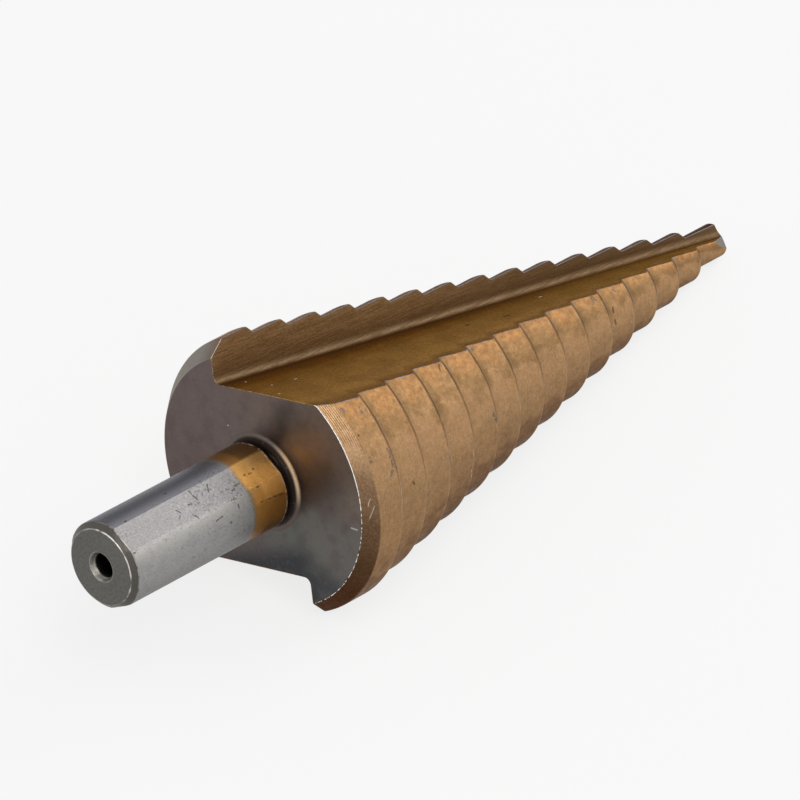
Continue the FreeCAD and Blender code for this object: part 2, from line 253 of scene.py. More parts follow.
def worn_profile(corners, wear):
    """A profile with its corners worn round, as rows of (across, along, corner, worn).

    Each corner becomes a rounded curve that starts and ends on its two sides at a
    distance of its wear. One more row stands SUPPORT beyond each end. Worn is 1 in
    the middle of a curve and 0 in those rows.
    """
    corners = np.array(corners, dtype=float)
    wear = np.array(wear)[:, None]
    middle = corners[1:-1]
    back = corners[:-2] - middle
    ahead = corners[2:] - middle
    back /= np.linalg.norm(back, axis=1)[:, None]
    ahead /= np.linalg.norm(ahead, axis=1)[:, None]
    t = np.linspace(0.0, 1.0, len(WORN_CURVE))[None, :, None]
    start = (middle + back * wear)[:, None]
    end = (middle + ahead * wear)[:, None]
    curve = rounded(start, middle[:, None], end, t)
    first = (middle + back * (wear + SUPPORT))[:, None]
    last = (middle + ahead * (wear + SUPPORT))[:, None]
    points = np.concatenate([first, curve, last], axis=1)
    worn = np.broadcast_to([0.0, *WORN_CURVE, 0.0], points.shape[:2])
    number = np.broadcast_to(np.arange(1, len(corners) - 1)[:, None], points.shape[:2])
    rows = np.dstack([points, number, worn]).reshape(-1, 4)
    return np.vstack([[*corners[0], 0, 0], rows, [*corners[-1], len(corners) - 1, 0]])


def crossing_angle(centre, radius, sideways, normal, offset, side):
    """Angle where the circle centre + radius (cos a X + sin a sideways) meets a plane.

    The plane is normal . p = offset. Of the two crossings, side 1 is the one
    anticlockwise of the normal, and side -1 the one clockwise of it.
    """
    along = sideways @ normal
    reach = (offset - centre @ normal) / (radius * np.hypot(normal[0], along))
    return np.arctan2(along, normal[0]) + side * np.arccos(np.clip(reach, -1, 1))


def on_circle(centre, radius, sideways, angle):
    """centre + radius (cos a X + sin a sideways), for each row and each angle."""
    spoke = np.sin(angle)[..., None] * sideways[:, None]
    spoke[..., 0] += np.cos(angle)
    return centre[:, None] + radius[:, None, None] * spoke


def half_turned(points):
    """The same points on the other side of the axis."""
    return points * np.array([-1.0, -1.0, 1.0])


def worn_corner(start, corner, end):
    """A rounded curve from start to end for each row, a column for each of its points."""
    t = np.linspace(0.0, 1.0, CORNER_COLUMNS)[None, :, None]
    return rounded(start[:, None], corner[:, None], end[:, None], t)


def eased(count):
    """Numbers from 0 to 1 without either, closer together at both.

    They are t - 0.85 sin(2 pi t) / (2 pi), for even steps t.
    """
    t = np.arange(1, count + 1) / (count + 1)
    return t - 0.85 * np.sin(2 * np.pi * t) / (2 * np.pi)


def between(start, end, count):
    """Columns start (1 - t) + end t, without either end and closer together at both."""
    t = eased(count)[None, :, None]
    return start[:, None] * (1 - t) + end[:, None] * t


LAND_COLUMNS = 84
FLOOR_COLUMNS = 22
WALL_COLUMNS = 12
FILLET_COLUMNS = 9
CORNER_COLUMNS = len(WORN_CURVE)
LAND_END_ROWS = 12
POINT_ROWS = 30
TAIL_START = 0.4
TAIL_SPARE = 0.2
TAIL_LEVELS = 24
HALVINGS = 30

# Profile of the lip, from the back face to the drill point. Its tail is the last
# land, from just past its corner to just past the tip, at even heights.
edges = FIRST_EDGE + STEP_PITCH * np.arange(STEP_COUNT - 1)
land_radii = LARGEST_RADIUS - STEP_RISE * np.arange(STEP_COUNT)
slopes = np.empty((2 * (STEP_COUNT - 1), 2))
slopes[0::2] = np.column_stack([land_radii[:-1], edges])
slopes[1::2] = np.column_stack([land_radii[1:], edges + STEP_RISE])
point_slope = POINT_HEIGHT / land_radii[-1]
shoulder = edges[-1] + STEP_RISE + PILOT_LENGTH
tail = np.linspace(
    edges[-1] + STEP_RISE + TAIL_START, shoulder + POINT_HEIGHT + TAIL_SPARE, TAIL_LEVELS
)
profile_corners = [
    (BACK_RADIUS - BACK_ROW_INSET, 0.0),
    (BACK_RADIUS, 0.0),
    (LARGEST_RADIUS, CHAMFER_LENGTH),
    *slopes,
    (land_radii[-1], tail[0]),
]
corner_wear = [BACK_WEAR, CHAMFER_WEAR] + [CREST_WEAR, VALLEY_WEAR] * (STEP_COUNT - 1)
profile = worn_profile(profile_corners, corner_wear)
tail_profile = np.column_stack([0 * tail + land_radii[-1], tail, 0 * tail, 0 * tail])
lip_radius, height, corner_number, worn = np.vstack([profile, tail_profile[1:]]).T

# Each row is a circle that leans, and lies off the axis, as the grinding left it
ground = np.clip(height / CHAMFER_LENGTH, 0, 1)
off_axis = ground * RELIEF * (APEX - height)
lean = ground * math.atan(RELIEF)
centre = np.column_stack([0 * height, off_axis, height])
radius = lip_radius - off_axis
sideways = np.column_stack([0 * lean, np.cos(lean), np.sin(lean)])
inset = np.where(height <= 0, BACK_RADIUS - lip_radius, 0.0)

# Planes of the first flute, each with its normal out of the steel
wall_way = np.array([-math.sin(HOOK), math.cos(HOOK), 0.0])
floor_way = np.array([-math.cos(FALL), -math.sin(FALL), 0.0])
wall_normal = np.cross(FLUTE_RUN, wall_way)
wall_normal /= np.linalg.norm(wall_normal)
floor_normal = np.cross(floor_way, FLUTE_RUN)
floor_normal /= np.linalg.norm(floor_normal)
lip_angle = crossing_angle(
    centre, radius, sideways, wall_normal, wall_normal @ ROOT - inset, -1
)
heel_angle = crossing_angle(
    centre, radius, sideways, half_turned(floor_normal), floor_normal @ ROOT - inset, 1
)
lip_angle = np.mod(lip_angle, 2 * math.pi)

# Half of each row: the lip of one lobe, its land and heel, and then the floor,
# the fillet and the wall of the other flute up to the next lip
lip = on_circle(centre, radius, sideways, lip_angle[:, None])[:, 0]
heel = on_circle(centre, radius, sideways, heel_angle[:, None])[:, 0]
land_angles = np.linspace(
    lip_angle - LIP_WEAR / radius, heel_angle + HEEL_WEAR / radius, LAND_COLUMNS + 2
).T
land = on_circle(centre, radius, sideways, land_angles)
floor_start = heel + HEEL_WEAR * floor_way
wall_end = half_turned(lip - LIP_WEAR * wall_way)
corner_shift = np.linalg.solve(
    half_turned(np.array([wall_normal, floor_normal]))[:, :2], np.array([-1.0, -1.0])
)
root = half_turned(ROOT + FLUTE_RUN * height[:, None])
root[:, :2] += inset[:, None] * corner_shift
root[:, 2] = height
tangent = ROOT_FILLET / math.tan((math.pi / 2 - HOOK + FALL) / 2)
off_floor = np.array([math.sin(FALL), -math.cos(FALL), 0])
fillet_centre = root - tangent * floor_way + ROOT_FILLET * off_floor
fillet_angles = np.linspace(math.pi / 2 + FALL, math.pi + HOOK, FILLET_COLUMNS)
fillet_spokes = np.column_stack([np.cos(fillet_angles), np.sin(fillet_angles), 0 * fillet_angles])
fillet = fillet_centre[:, None] + ROOT_FILLET * fillet_spokes
half_row = [
    worn_corner(lip - LIP_WEAR * wall_way, lip, land[:, 0]),
    land[:, 1:-1],
    worn_corner(land[:, -1], heel, floor_start),
    between(floor_start, fillet[:, 0], FLOOR_COLUMNS),
    fillet,
    between(fillet[:, -1], wall_end, WALL_COLUMNS),
]
half = np.concatenate(half_row, axis=1)


def facet_height(x, y):
    """Height of the thinned facet that lies ahead of a place, or none behind its corner.

    It is shoulder + (across - |x| + tan(turn) (|y| + depth)) / rise, on its own side.
    """
    side = np.where(x < 0, -1.0, 1.0)
    fall = THINNING_ACROSS - side * x + math.tan(THINNING_TURN) * (side * y + THINNING_DEPTH)
    return np.where(side * y > -THINNING_DEPTH, shoulder + fall / THINNING_RISE, np.inf)


def point_height(x, y):
    """Height of the drill point: its cone, or the facet where that is lower.

    The cone is shoulder + (radius - distance from the axis) x slope.
    """
    cone_height = shoulder + (land_radii[-1] - np.hypot(x, y)) * point_slope
    return np.minimum(cone_height, facet_height(x, y))


# The columns of the last land, with the flutes that run on past it, as straight
# runs between even rows
tail_rows = np.concatenate([half[-len(tail):], half_turned(half[-len(tail):])], axis=1)
tail_gap = tail[1] - tail[0]


def on_tail(along):
    """Points of the columns of the tail, each at a height of its own.

    Each lies between the two rows beside that height, (1 - share) of one and share
    of the next.
    """
    place = np.clip((along - tail[0]) / tail_gap, 0, len(tail) - 1.001)
    below = place.astype(int)
    share = (place - below)[..., None]
    column = np.arange(tail_rows.shape[1])
    return (1 - share) * tail_rows[below, column] + share * tail_rows[below + 1, column]


# Each column is cut off where it meets the point. The height of the cut is found
# by halving an interval between the foot of the land and past the point.
lowest = np.full(tail_rows.shape[1], tail[0])
highest = np.full(tail_rows.shape[1], tail[-1])
for _ in range(HALVINGS):
    middle = (lowest + highest) / 2
    trial = on_tail(middle)
    past = trial[:, 2] > point_height(trial[:, 0], trial[:, 1])
    highest = np.where(past, middle, highest)
    lowest = np.where(past, lowest, middle)
edge = on_tail(lowest)
before = lowest - POINT_WEAR
share = np.linspace(0, 1, LAND_END_ROWS)[1:-1, None]
land_end = on_tail(tail[0] + share * (before - tail[0]))
inward = edge.copy()
inward[:, :2] *= 1 - POINT_WEAR / np.hypot(edge[:, :1], edge[:, 1:2])
inward[:, 2] = point_height(inward[:, 0], inward[:, 1])
t = np.linspace(0, 1, CORNER_COLUMNS)[:, None, None]
edge_rows = rounded(on_tail(before), edge, inward, t)

# Drill point: the last row shrinks towards the axis and climbs to it. The cut
# columns take the place of the tail's rows, but for its first.
shrink = np.linspace(1, TIP_SHARE, POINT_ROWS + 1)[1:, None]
point_rows = np.repeat(inward[None], POINT_ROWS, axis=0)
point_rows[..., :2] *= shrink[..., None]
point_rows[..., 2] = point_height(point_rows[..., 0], point_rows[..., 1])
half = half[:1 - len(tail)]
body_rows = np.concatenate([half, half_turned(half)], axis=1)
cone_rows = np.concatenate([body_rows, land_end, edge_rows, point_rows])


def ringed_mesh(name, rows):
    """A closed mesh from rows of columns that close on themselves.

    Faces join each row to the next, and one flat face closes either end.
    """
    count, columns = rows.shape[:2]
    number = np.arange(count * columns).reshape(count, columns)
    beside = np.roll(number, -1, axis=1)
    quads = np.stack([number[:-1], number[1:], beside[1:], beside[:-1]], axis=-1).reshape(-1, 4)
    faces = quads.tolist() + [number[0].tolist(), number[-1][::-1].tolist()]
    mesh = bpy.data.meshes.new(name)
    mesh.from_pydata(laid_down(rows).reshape(-1, 3).tolist(), [], faces)
    mesh.polygons.foreach_set("use_smooth", np.ones(len(faces), dtype=bool))
    mesh.update()
    piece = bpy.data.objects.new(name, mesh)
    bpy.context.collection.objects.link(piece)
    return piece


def marked(mesh, name, values):
    """A number at each point of the mesh, for a material to read."""
    layer = mesh.attributes.new(name, "FLOAT", "POINT")
    layer.data.foreach_set("value", np.ascontiguousarray(values, dtype=np.float32).ravel())


cone = ringed_mesh("stepped_cone", cone_rows)

# Marks on the cone for its finishes. Each is a number for every row times a number
# for every column. These are the runs of columns in half a row. The front of the
# lip looks to the flute, and the fillet's foot is partly on the floor.
CORNER_BLEND = 0.15
row_total = len(cone_rows)
half_columns = half.shape[1]
corner_number, worn, height = corner_number[:len(half)], worn[:len(half)], height[:len(half)]
land_end_count = len(land_end) + 2
run_ends = np.cumsum([0] + [run.shape[1] for run in half_row])
column_runs = [slice(start, end) for start, end in zip(run_ends[:-1], run_ends[1:])]
on_lip, on_face, on_heel, on_floor, on_fillet, on_cutting_face = column_runs
lip_front = slice(0, 2)
fillet_foot = slice(on_fillet.start - 4, on_fillet.start + 3)


def columns_with(*runs):
    """A number for each column of half a row: 0, but for the runs that are given."""
    by_column = np.zeros(half_columns)
    for run, numbers in runs:
        by_column[run] = numbers
    return by_column


def cone_mark(name, by_row, by_column):
    """A mark on the cone: a number for each row times a number for each column.

    The rows of the last land repeat the last number, and those of the point have 0.
    """
    by_row = np.pad(np.asarray(by_row, dtype=float), (0, land_end_count), mode="edge")
    by_row = np.pad(by_row, (0, row_total - len(by_row)))
    marked(cone.data, name, by_row[:, None] * np.tile(by_column, 2)[None])


# Lip and heel, and how far round the land a point is from the one to the other
every_row = np.ones(len(height))
every_column = np.ones(half_columns)
on_land = columns_with((on_lip, 1.0), (on_face, 1.0), (on_heel, 1.0))
cone_mark("lip", every_row, columns_with((on_lip, WORN_CURVE)))
cone_mark("heel", every_row, columns_with((on_heel, WORN_CURVE)))
last_land_column = CORNER_COLUMNS + LAND_COLUMNS - 1
cone_mark("sweep", every_row, np.minimum(np.arange(half_columns) / last_land_column, 1))

# Crests and valleys of the steps, the back edge, and the chamfer up to its corner
is_crest = (corner_number >= 3) & (corner_number % 2 == 1)
is_valley = (corner_number >= 4) & (corner_number % 2 == 0)
cone_mark("crest", worn * is_crest, on_land)
cone_mark("valley", worn * is_valley, on_land)
cone_mark("back_edge", worn * (corner_number == 1), every_column)
behind_corner = np.clip((CHAMFER_LENGTH - height) / CORNER_BLEND + 0.5, 0, 1)
behind_corner = np.where(corner_number < 2, 1.0, np.where(corner_number == 2, behind_corner, 0))
cone_mark("chamfer", behind_corner, every_column)

# Cutting face, fillet and its foot, and how far across the floor or the face a
# point is, from the fillet outwards
into_face = np.linspace(0, 1, FILLET_COLUMNS)
cone_mark("wall", every_row, columns_with(
    (on_fillet, into_face), (on_cutting_face, 1.0), (lip_front, 1.0),
))
cone_mark("fillet", every_row, columns_with((on_fillet, np.sin(math.pi * into_face))))
cone_mark("foot", every_row, columns_with((fillet_foot, (0.3, 0.7, 1.0, 1.0, 1.0, 0.6, 0.2))))
cone_mark("across", every_row, columns_with(
    (on_heel, 1.0), (on_floor, 1 - eased(FLOOR_COLUMNS)),
    (on_cutting_face, eased(WALL_COLUMNS)), (lip_front, 1.0),
))

# The two ground facets of the point
over_facet = facet_height(cone_rows[..., 0], cone_rows[..., 1]) - cone_rows[..., 2]
on_point = np.arange(row_total)[:, None] >= len(half) + land_end_count
marked(cone.data, "thinned", on_point * (np.abs(over_facet) < FACET_REACH))


class Reading:
    """A number, place or colour that a finish's nodes give at each point of the surface.

    Arithmetic on readings adds the nodes that work it out.
    """

    def __init__(self, tree, socket):
        self.tree = tree
        self.socket = socket

    def step(self, operation, other=0.0):
        """One step of arithmetic, with another number where it takes two."""
        return Reading(self.tree, sum_of(self.tree, operation, self, other))

    def __add__(self, other):
        return self.step("ADD", other)

    def __sub__(self, other):
        return self.step("SUBTRACT", other)

    def __rsub__(self, other):
        return Reading(self.tree, sum_of(self.tree, "SUBTRACT", other, self))

    def __mul__(self, other):
        return self.step("MULTIPLY", other)

    def __truediv__(self, other):
        return self.step("DIVIDE", other)

    def __abs__(self):
        return self.step("ABSOLUTE")

    def mapped(self, low, high, to_low=0.0, to_high=1.0, curve="SMOOTHSTEP"):
        """This number carried from one range to another, and held at the ends."""
        ranges = {"From Min": low, "From Max": high, "To Min": to_low, "To Max": to_high}
        node = wired(
            self.tree, "ShaderNodeMapRange", {"Value": self, **ranges}, interpolation_type=curve
        )
        return Reading(self.tree, node.outputs[0])


def vector_of(operation, first, second):
    """One step of arithmetic on two vectors; a dot product or distance gives a number."""
    node = wired(first.tree, "ShaderNodeVectorMath", {0: first, 1: second}, operation=operation)
    number = operation in ("DOT_PRODUCT", "DISTANCE")
    return Reading(first.tree, node.outputs["Value" if number else "Vector"])


def scaled(vector, factor):
    """A vector made longer or shorter, or a colour made lighter or darker as a whole."""
    inputs = {0: vector, "Scale": factor}
    node = wired(vector.tree, "ShaderNodeVectorMath", inputs, operation="SCALE")
    return Reading(vector.tree, node.outputs[0])


def part_of(point, axis):
    """One coordinate of a place."""
    parts = wired(point.tree, "ShaderNodeSeparateXYZ", {0: point}).outputs
    return Reading(point.tree, parts[axis])


def cloud(point, scale, detail=3.0, stretch=None):
    """Noise from 0 to 1 in the drill's own millimetres, stretched where asked."""
    if stretch:
        point = vector_of("MULTIPLY", point, stretch)
    inputs = {"Vector": point, "Scale": scale, "Detail": detail}
    return Reading(point.tree, wired(point.tree, "ShaderNodeTexNoise", inputs).outputs["Fac"])


def shaken(point, scale, reach):
    """A place moved by noise, so that marks laid by place waver as real ones do."""
    noise = wired(point.tree, "ShaderNodeTexNoise", {"Vector": point, "Scale": scale})
    shift = Reading(point.tree, noise.outputs["Color"])
    offset = vector_of("SUBTRACT", shift, (0.5, 0.5, 0.5))
    return vector_of("ADD", point, scaled(offset, reach))


def mixed(share, first, second):
    """Two colours in a share that changes over the surface: all of the second where it is 1."""
    first, second = (c if isinstance(c, Reading) else (*c, 1) for c in (first, second))
    inputs = {0: share, 6: first, 7: second}
    node = wired(share.tree, "ShaderNodeMix", inputs, data_type="RGBA")
    return Reading(share.tree, node.outputs[2])


def layered(tone, layers):
    """A tone with others laid over it in turn, each with its name, its share and its colour."""
    for name, share, colour in layers:
        tone = mixed(share, tone, colour)
        tone.socket.node.label = name
    return tone


def toned(value, stops):
    """A colour read from a number between 0 and 1, on a smooth ramp of tones."""
    ramp = wired(value.tree, "ShaderNodeValToRGB", {0: value})
    ramp.color_ramp.interpolation = "EASE"
    tones = ramp.color_ramp.elements
    for end, (position, colour) in ((0, stops[0]), (1, stops[-1])):
        tones[end].position, tones[end].color = position, (*colour, 1)
    for position, colour in stops[1:-1]:
        tones.new(position).color = (*colour, 1)
    return Reading(value.tree, ramp.outputs[0])


def grouped(name, inputs, outputs):
    """An empty node group with named sockets, the readings it is given, and its output node."""
    group = bpy.data.node_groups.new(name, "ShaderNodeTree")
    for label, kind, value in inputs:
        socket = group.interface.new_socket(label, in_out="INPUT", socket_type=kind)
        socket.default_value = value
    for label, kind in outputs:
        group.interface.new_socket(label, in_out="OUTPUT", socket_type=kind)
    sockets = wired(group, "NodeGroupInput").outputs
    given = {label: Reading(group, sockets[label]) for label, _, _ in inputs}
    return group, given, wired(group, "NodeGroupOutput")


def effect(point, group, **inputs):
    """The mask that a group puts out round a place for these inputs."""
    node = wired(point.tree, "ShaderNodeGroup", {"Point": point, **inputs}, node_tree=group)
    return Reading(point.tree, node.outputs["Mask"])


# Where a point of the drill is, in its own frame: its place in millimetres, how
# far along the axis it is, how far out, and its turn about the axis
drill_place, _, found = grouped(
    "drill_place", [],
    [("Point", "NodeSocketVector"), ("Along", "NodeSocketFloat"),
     ("Out", "NodeSocketFloat"), ("Turn", "NodeSocketFloat")],
)
standing = LAID.transposed()
own_frame = wired(
    drill_place, "ShaderNodeMapping",
    {
        "Vector": wired(drill_place, "ShaderNodeTexCoord").outputs["Object"],
        "Location": -(standing @ BACK_FACE_PLACE),
        "Rotation": standing.to_euler(),
        "Scale": (1 / MM, 1 / MM, 1 / MM),
    },
).outputs[0]
parts = wired(drill_place, "ShaderNodeSeparateXYZ", {0: own_frame}).outputs
flat_part = wired(drill_place, "ShaderNodeCombineXYZ", {0: parts["X"], 1: parts["Y"]}).outputs[0]
outward = wired(drill_place, "ShaderNodeVectorMath", {0: flat_part}, operation="LENGTH")
found_by_name = {
    "Point": own_frame,
    "Along": parts["Z"],
    "Out": outward.outputs["Value"],
    "Turn": sum_of(drill_place, "ARCTAN2", parts["Y"], parts["X"]),
}
for label, socket in found_by_name.items():
    drill_place.links.new(socket, found.inputs[label])

# Wear that keeps to an edge but breaks up along it: the edge's mark, less noise
broken_edge, given, made = grouped(
    "broken_edge",
    [("Point", "NodeSocketVector", (0, 0, 0)), ("Edge", "NodeSocketFloat", 0.0),
     ("Grain", "NodeSocketFloat", 3.0), ("Loss", "NodeSocketFloat", 0.4)],
    [("Mask", "NodeSocketFloat")],
)
eaten = cloud(given["Point"], given["Grain"], 2.0) * given["Loss"] * 2.0
left = (given["Edge"] - eaten).mapped(0.0, 0.35)
broken_edge.links.new(left.socket, made.inputs["Mask"])

# Small pits: the nearest point of a scatter, kept where its own number is low
pits, given, made = grouped(
    "pits",
    [("Point", "NodeSocketVector", (0, 0, 0)), ("Spacing", "NodeSocketFloat", 2.0),
     ("Size", "NodeSocketFloat", 0.1), ("Share", "NodeSocketFloat", 0.3)],
    [("Mask", "NodeSocketFloat")],
)
scatter = wired(
    pits, "ShaderNodeTexVoronoi",
    {"Vector": given["Point"], "Scale": sum_of(pits, "DIVIDE", 1.0, given["Spacing"])},
)
own_colour = wired(pits, "ShaderNodeSeparateColor", {0: scatter.outputs["Color"]})
own_number = Reading(pits, own_colour.outputs[0])
distance = Reading(pits, scatter.outputs["Distance"])
inside = distance.step("LESS_THAN", given["Size"] / given["Spacing"])
kept = own_number.step("LESS_THAN", given["Share"])
pits.links.new((inside * kept).socket, made.inputs["Mask"])

# Short scratches that run all ways: a scatter drawn out along one direction
DRAWN_OUT = (0.16, 1.0, 1.0)
scratches, given, made = grouped(
    "scratches",
    [("Point", "NodeSocketVector", (0, 0, 0)), ("Way", "NodeSocketVector", (0, 0, 0)),
     ("Spacing", "NodeSocketFloat", 2.0), ("Width", "NodeSocketFloat", 0.05),
     ("Share", "NodeSocketFloat", 0.3)],
    [("Mask", "NodeSocketFloat")],
)
turned_point = Reading(scratches, wired(
    scratches, "ShaderNodeVectorRotate", {"Vector": given["Point"], "Rotation": given["Way"]},
    rotation_type="EULER_XYZ",
).outputs[0])
drawn = vector_of("MULTIPLY", turned_point, DRAWN_OUT)
long_pits = effect(drawn, pits, Spacing=given["Spacing"], Size=given["Width"], Share=given["Share"])
scratches.links.new(long_pits.socket, made.inputs["Mask"])

# A scratch or a chip: 1 on the line from one place to another, and 0 past its width
stroke, given, made = grouped(
    "stroke",
    [("Point", "NodeSocketVector", (0, 0, 0)), ("Start", "NodeSocketVector", (0, 0, 0)),
     ("End", "NodeSocketVector", (0, 0, 0)), ("Width", "NodeSocketFloat", 0.1)],
    [("Mask", "NodeSocketFloat")],
)
run = vector_of("SUBTRACT", given["End"], given["Start"])
from_start = vector_of("SUBTRACT", given["Point"], given["Start"])
run_done = wired(
    stroke, "ShaderNodeMath",
    {0: vector_of("DOT_PRODUCT", from_start, run), 1: vector_of("DOT_PRODUCT", run, run)},
    operation="DIVIDE", use_clamp=True,
).outputs[0]
off_line = vector_of("DISTANCE", from_start, scaled(run, run_done)) / given["Width"]
stroke.links.new(off_line.mapped(1.0, 0.45).socket, made.inputs["Mask"])


def spot(out, turn, along):
    """A place on the drill: out cos(turn), out sin(turn) and along, with the turn in degrees."""
    return (out * math.cos(math.radians(turn)), out * math.sin(math.radians(turn)), along)


def strokes(point, width, ends):
    """One mask for several strokes, each given by its two ends as out, turn and along."""
    masks = [
        effect(point, stroke, Start=spot(*start), End=spot(*end), Width=width)
        for start, end in ends
    ]
    together = masks[0]
    for mask in masks[1:]:
        together = together.step("MAXIMUM", mask)
    return together


def finish(name, metallic=1.0):
    """A material, its surface, where each point is by name, and a reader of the mesh's marks."""
    material = bpy.data.materials.new(name)
    material.use_nodes = True
    tree = material.node_tree
    surface = tree.nodes["Principled BSDF"]
    surface.inputs["Metallic"].default_value = metallic
    sockets = wired(tree, "ShaderNodeGroup", node_tree=drill_place).outputs
    place = {socket.name: Reading(tree, socket) for socket in sockets}

    def mark(label):
        attribute = wired(tree, "ShaderNodeAttribute", attribute_name=label)
        return Reading(tree, attribute.outputs["Fac"])

    return material, surface, place, mark


def surfaced(surface, tone, roughness, relief, depth):
    """Colour, roughness and a bump of a given depth, led to the surface."""
    inputs = {"Height": relief, "Distance": depth, "Strength": 1.0}
    bump = wired(tone.tree, "ShaderNodeBump", inputs)
    ends = {"Base Color": tone.socket, "Roughness": roughness.socket, "Normal": bump.outputs[0]}
    for name, source in ends.items():
        tone.tree.links.new(source, surface.inputs[name])


# The coat on the lands is a dull gold, warmer near the heel and browner towards
# the lip. Its ramp from lip to heel is mostly painted shade: dark towards the lip,
# on the lower side of the lobe, and darker again at the heel, on its upper side.
# It is mottled and streaked round the drill, dark and chipped in the corners of
# the steps, worn bare beside the lip and finely ridged on the chamfer.
RIDGE_PITCH = 0.21
LAND_GRAIN_DEPTH = 0.014 * MM
coated_lands, surface, place, mark = finish("coated_lands")
surface.inputs["Specular Tint"].default_value = (0.78, 0.68, 0.60, 1)
along = place["Along"]
point = shaken(place["Point"], 1.7, 0.25)
mottle = cloud(point, 1.5, 6.0)
streak = cloud(point, 0.9, 4.0, (1.0, 1.0, 6.0))
speckle = cloud(point, 4.2, 5.0)
patchy = cloud(point, 0.9, 3.0).mapped(0.38, 0.60)
from_lip = mark("sweep")
on_chamfer = mark("chamfer")
in_valley = mark("valley")
edge_shift = cloud(point, 0.5, 3.0).mapped(0.3, 0.7, -0.05, 0.05)
swept = from_lip + edge_shift

# The tone follows the sweep from lip to heel, as painted shade, darker low on the
# lobe and at the heel and lighter between. It changes later near the back, and on
# the lobe that faces away it keeps to the tones of the middle.
beside = part_of(point, "X")
other_lobe = beside.mapped(-0.5, -2.0) * (0.38 - swept * 0.42)
near_back = along.mapped(1.0, 24.0, 0.12, 0.0) * swept.mapped(0.60, 0.45)
tone = toned(swept + near_back + other_lobe, [
    (0.00, (0.112, 0.060, 0.036)), (0.16, (0.077, 0.036, 0.018)), (0.29, (0.120, 0.064, 0.036)),
    (0.41, (0.204, 0.114, 0.060)), (0.52, (0.306, 0.182, 0.092)), (0.61, (0.346, 0.208, 0.102)),
    (0.70, (0.400, 0.236, 0.118)), (0.78, (0.395, 0.230, 0.112)), (0.88, (0.264, 0.152, 0.068)),
    (1.00, (0.280, 0.146, 0.060)),
])
cast = cloud(point, 0.22, 4.0).mapped(0.46, 0.66, 0.0, 0.09) * swept.mapped(0.30, 0.50)
tone = layered(tone, [("green cast", cast, (0.235, 0.168, 0.086))])
tone = scaled(tone, mottle.mapped(0.32, 0.70, 1.04, 0.93))
tone = scaled(tone, streak.mapped(0.40, 0.70, 1.03, 0.92))
tone = scaled(tone, speckle.mapped(0.28, 0.74, 1.10, 0.88))

# Chamfer: the same coat, much darker low down as painted shade, with turned ridges
# near the heel
ridge = (along * (2 * math.pi / RIDGE_PITCH)).step("SINE")
ridge_share = swept.mapped(0.80, 0.92) * on_chamfer
far_side = beside.mapped(-1.0, 1.0, 0.92, 0.0)
far_tone = mixed(from_lip.mapped(0.15, 0.02), (0.250, 0.246, 0.232), (0.185, 0.140, 0.110))
chamfer_tone_and_shade = toned(from_lip, [
    (0.00, (0.045, 0.010, 0.004)), (0.20, (0.060, 0.021, 0.009)), (0.35, (0.080, 0.041, 0.019)),
    (0.50, (0.130, 0.074, 0.038)), (0.68, (0.215, 0.128, 0.070)), (0.84, (0.420, 0.260, 0.140)),
    (1.00, (0.500, 0.312, 0.166)),
])
chamfer_tone_and_shade = scaled(chamfer_tone_and_shade, speckle.mapped(0.30, 0.70, 1.14, 0.78))
pale_share = speckle.mapped(0.42, 0.28, 0.0, 0.30) * from_lip.mapped(0.38, 0.62)
chamfer_tone_and_shade = layered(chamfer_tone_and_shade, [
    ("pale flecks", pale_share, (0.400, 0.250, 0.140)),
    ("dark of the ridges", ridge.mapped(-0.5, 0.7) * ridge_share * 0.75, (0.130, 0.062, 0.024)),
    ("grey on the far lobe", far_side, far_tone),
])

# Corners of the steps: painted shade just past each, a darker line and chips on
# the upper part and a bright worn line on the lower part
past_valley = ((along - (FIRST_EDGE + STEP_RISE)) / STEP_PITCH).step("FRACT")
in_lee = past_valley.mapped(0.0, 0.26, 1.0, 0.0) * along.mapped(5.6, 6.2)
# A darker line in the corners of the steps
corner_darkening = in_valley.mapped(0.55, 1.0) * swept.mapped(0.50, 0.74) * patchy.mapped(0.0, 1.0, 0.10, 0.60)
worn_line = in_valley.mapped(0.30, 0.90) * swept.mapped(0.70, 0.54) * swept.mapped(0.16, 0.26)
chipped = in_valley.mapped(0.1, 0.6) * swept.mapped(0.52, 0.66)
chipped = chipped * cloud(point, 0.7, 3.0).mapped(0.58, 0.66)

# Edges of the lobe: the heel's rim, the bare margin behind the lip, the lip's own
# rim and the burr that turning left on the back edge, which also carries a painted
# glint
heel_rim = effect(point, broken_edge, Edge=mark("heel"), Grain=1.1, Loss=0.75)
margin = (from_lip + edge_shift * 0.35).mapped(0.050, 0.015)
margin = margin * on_chamfer.mapped(0.0, 1.0, 0.85, 0.2)
lip_rim = effect(point, broken_edge, Edge=mark("lip"), Grain=2.0, Loss=0.55)
lip_burr = effect(point, broken_edge, Edge=mark("lip") * on_chamfer, Grain=2.6, Loss=0.55)
BURR_AND_GLINT_TONE = (0.86, 0.84, 0.81)


def back_burr_and_glint(point, turn, edge):
    """The bright burr along the back edge with a painted glint, heavier on its low side."""
    heavier = turn.mapped(math.radians(25), math.radians(-12), 1.0, 1.6)
    return effect(point, broken_edge, Edge=edge * heavier, Grain=2.4, Loss=0.78)


burr = back_burr_and_glint(point, place["Turn"], mark("back_edge") * far_side.mapped(0.0, 0.7, 1.0, 0.30))

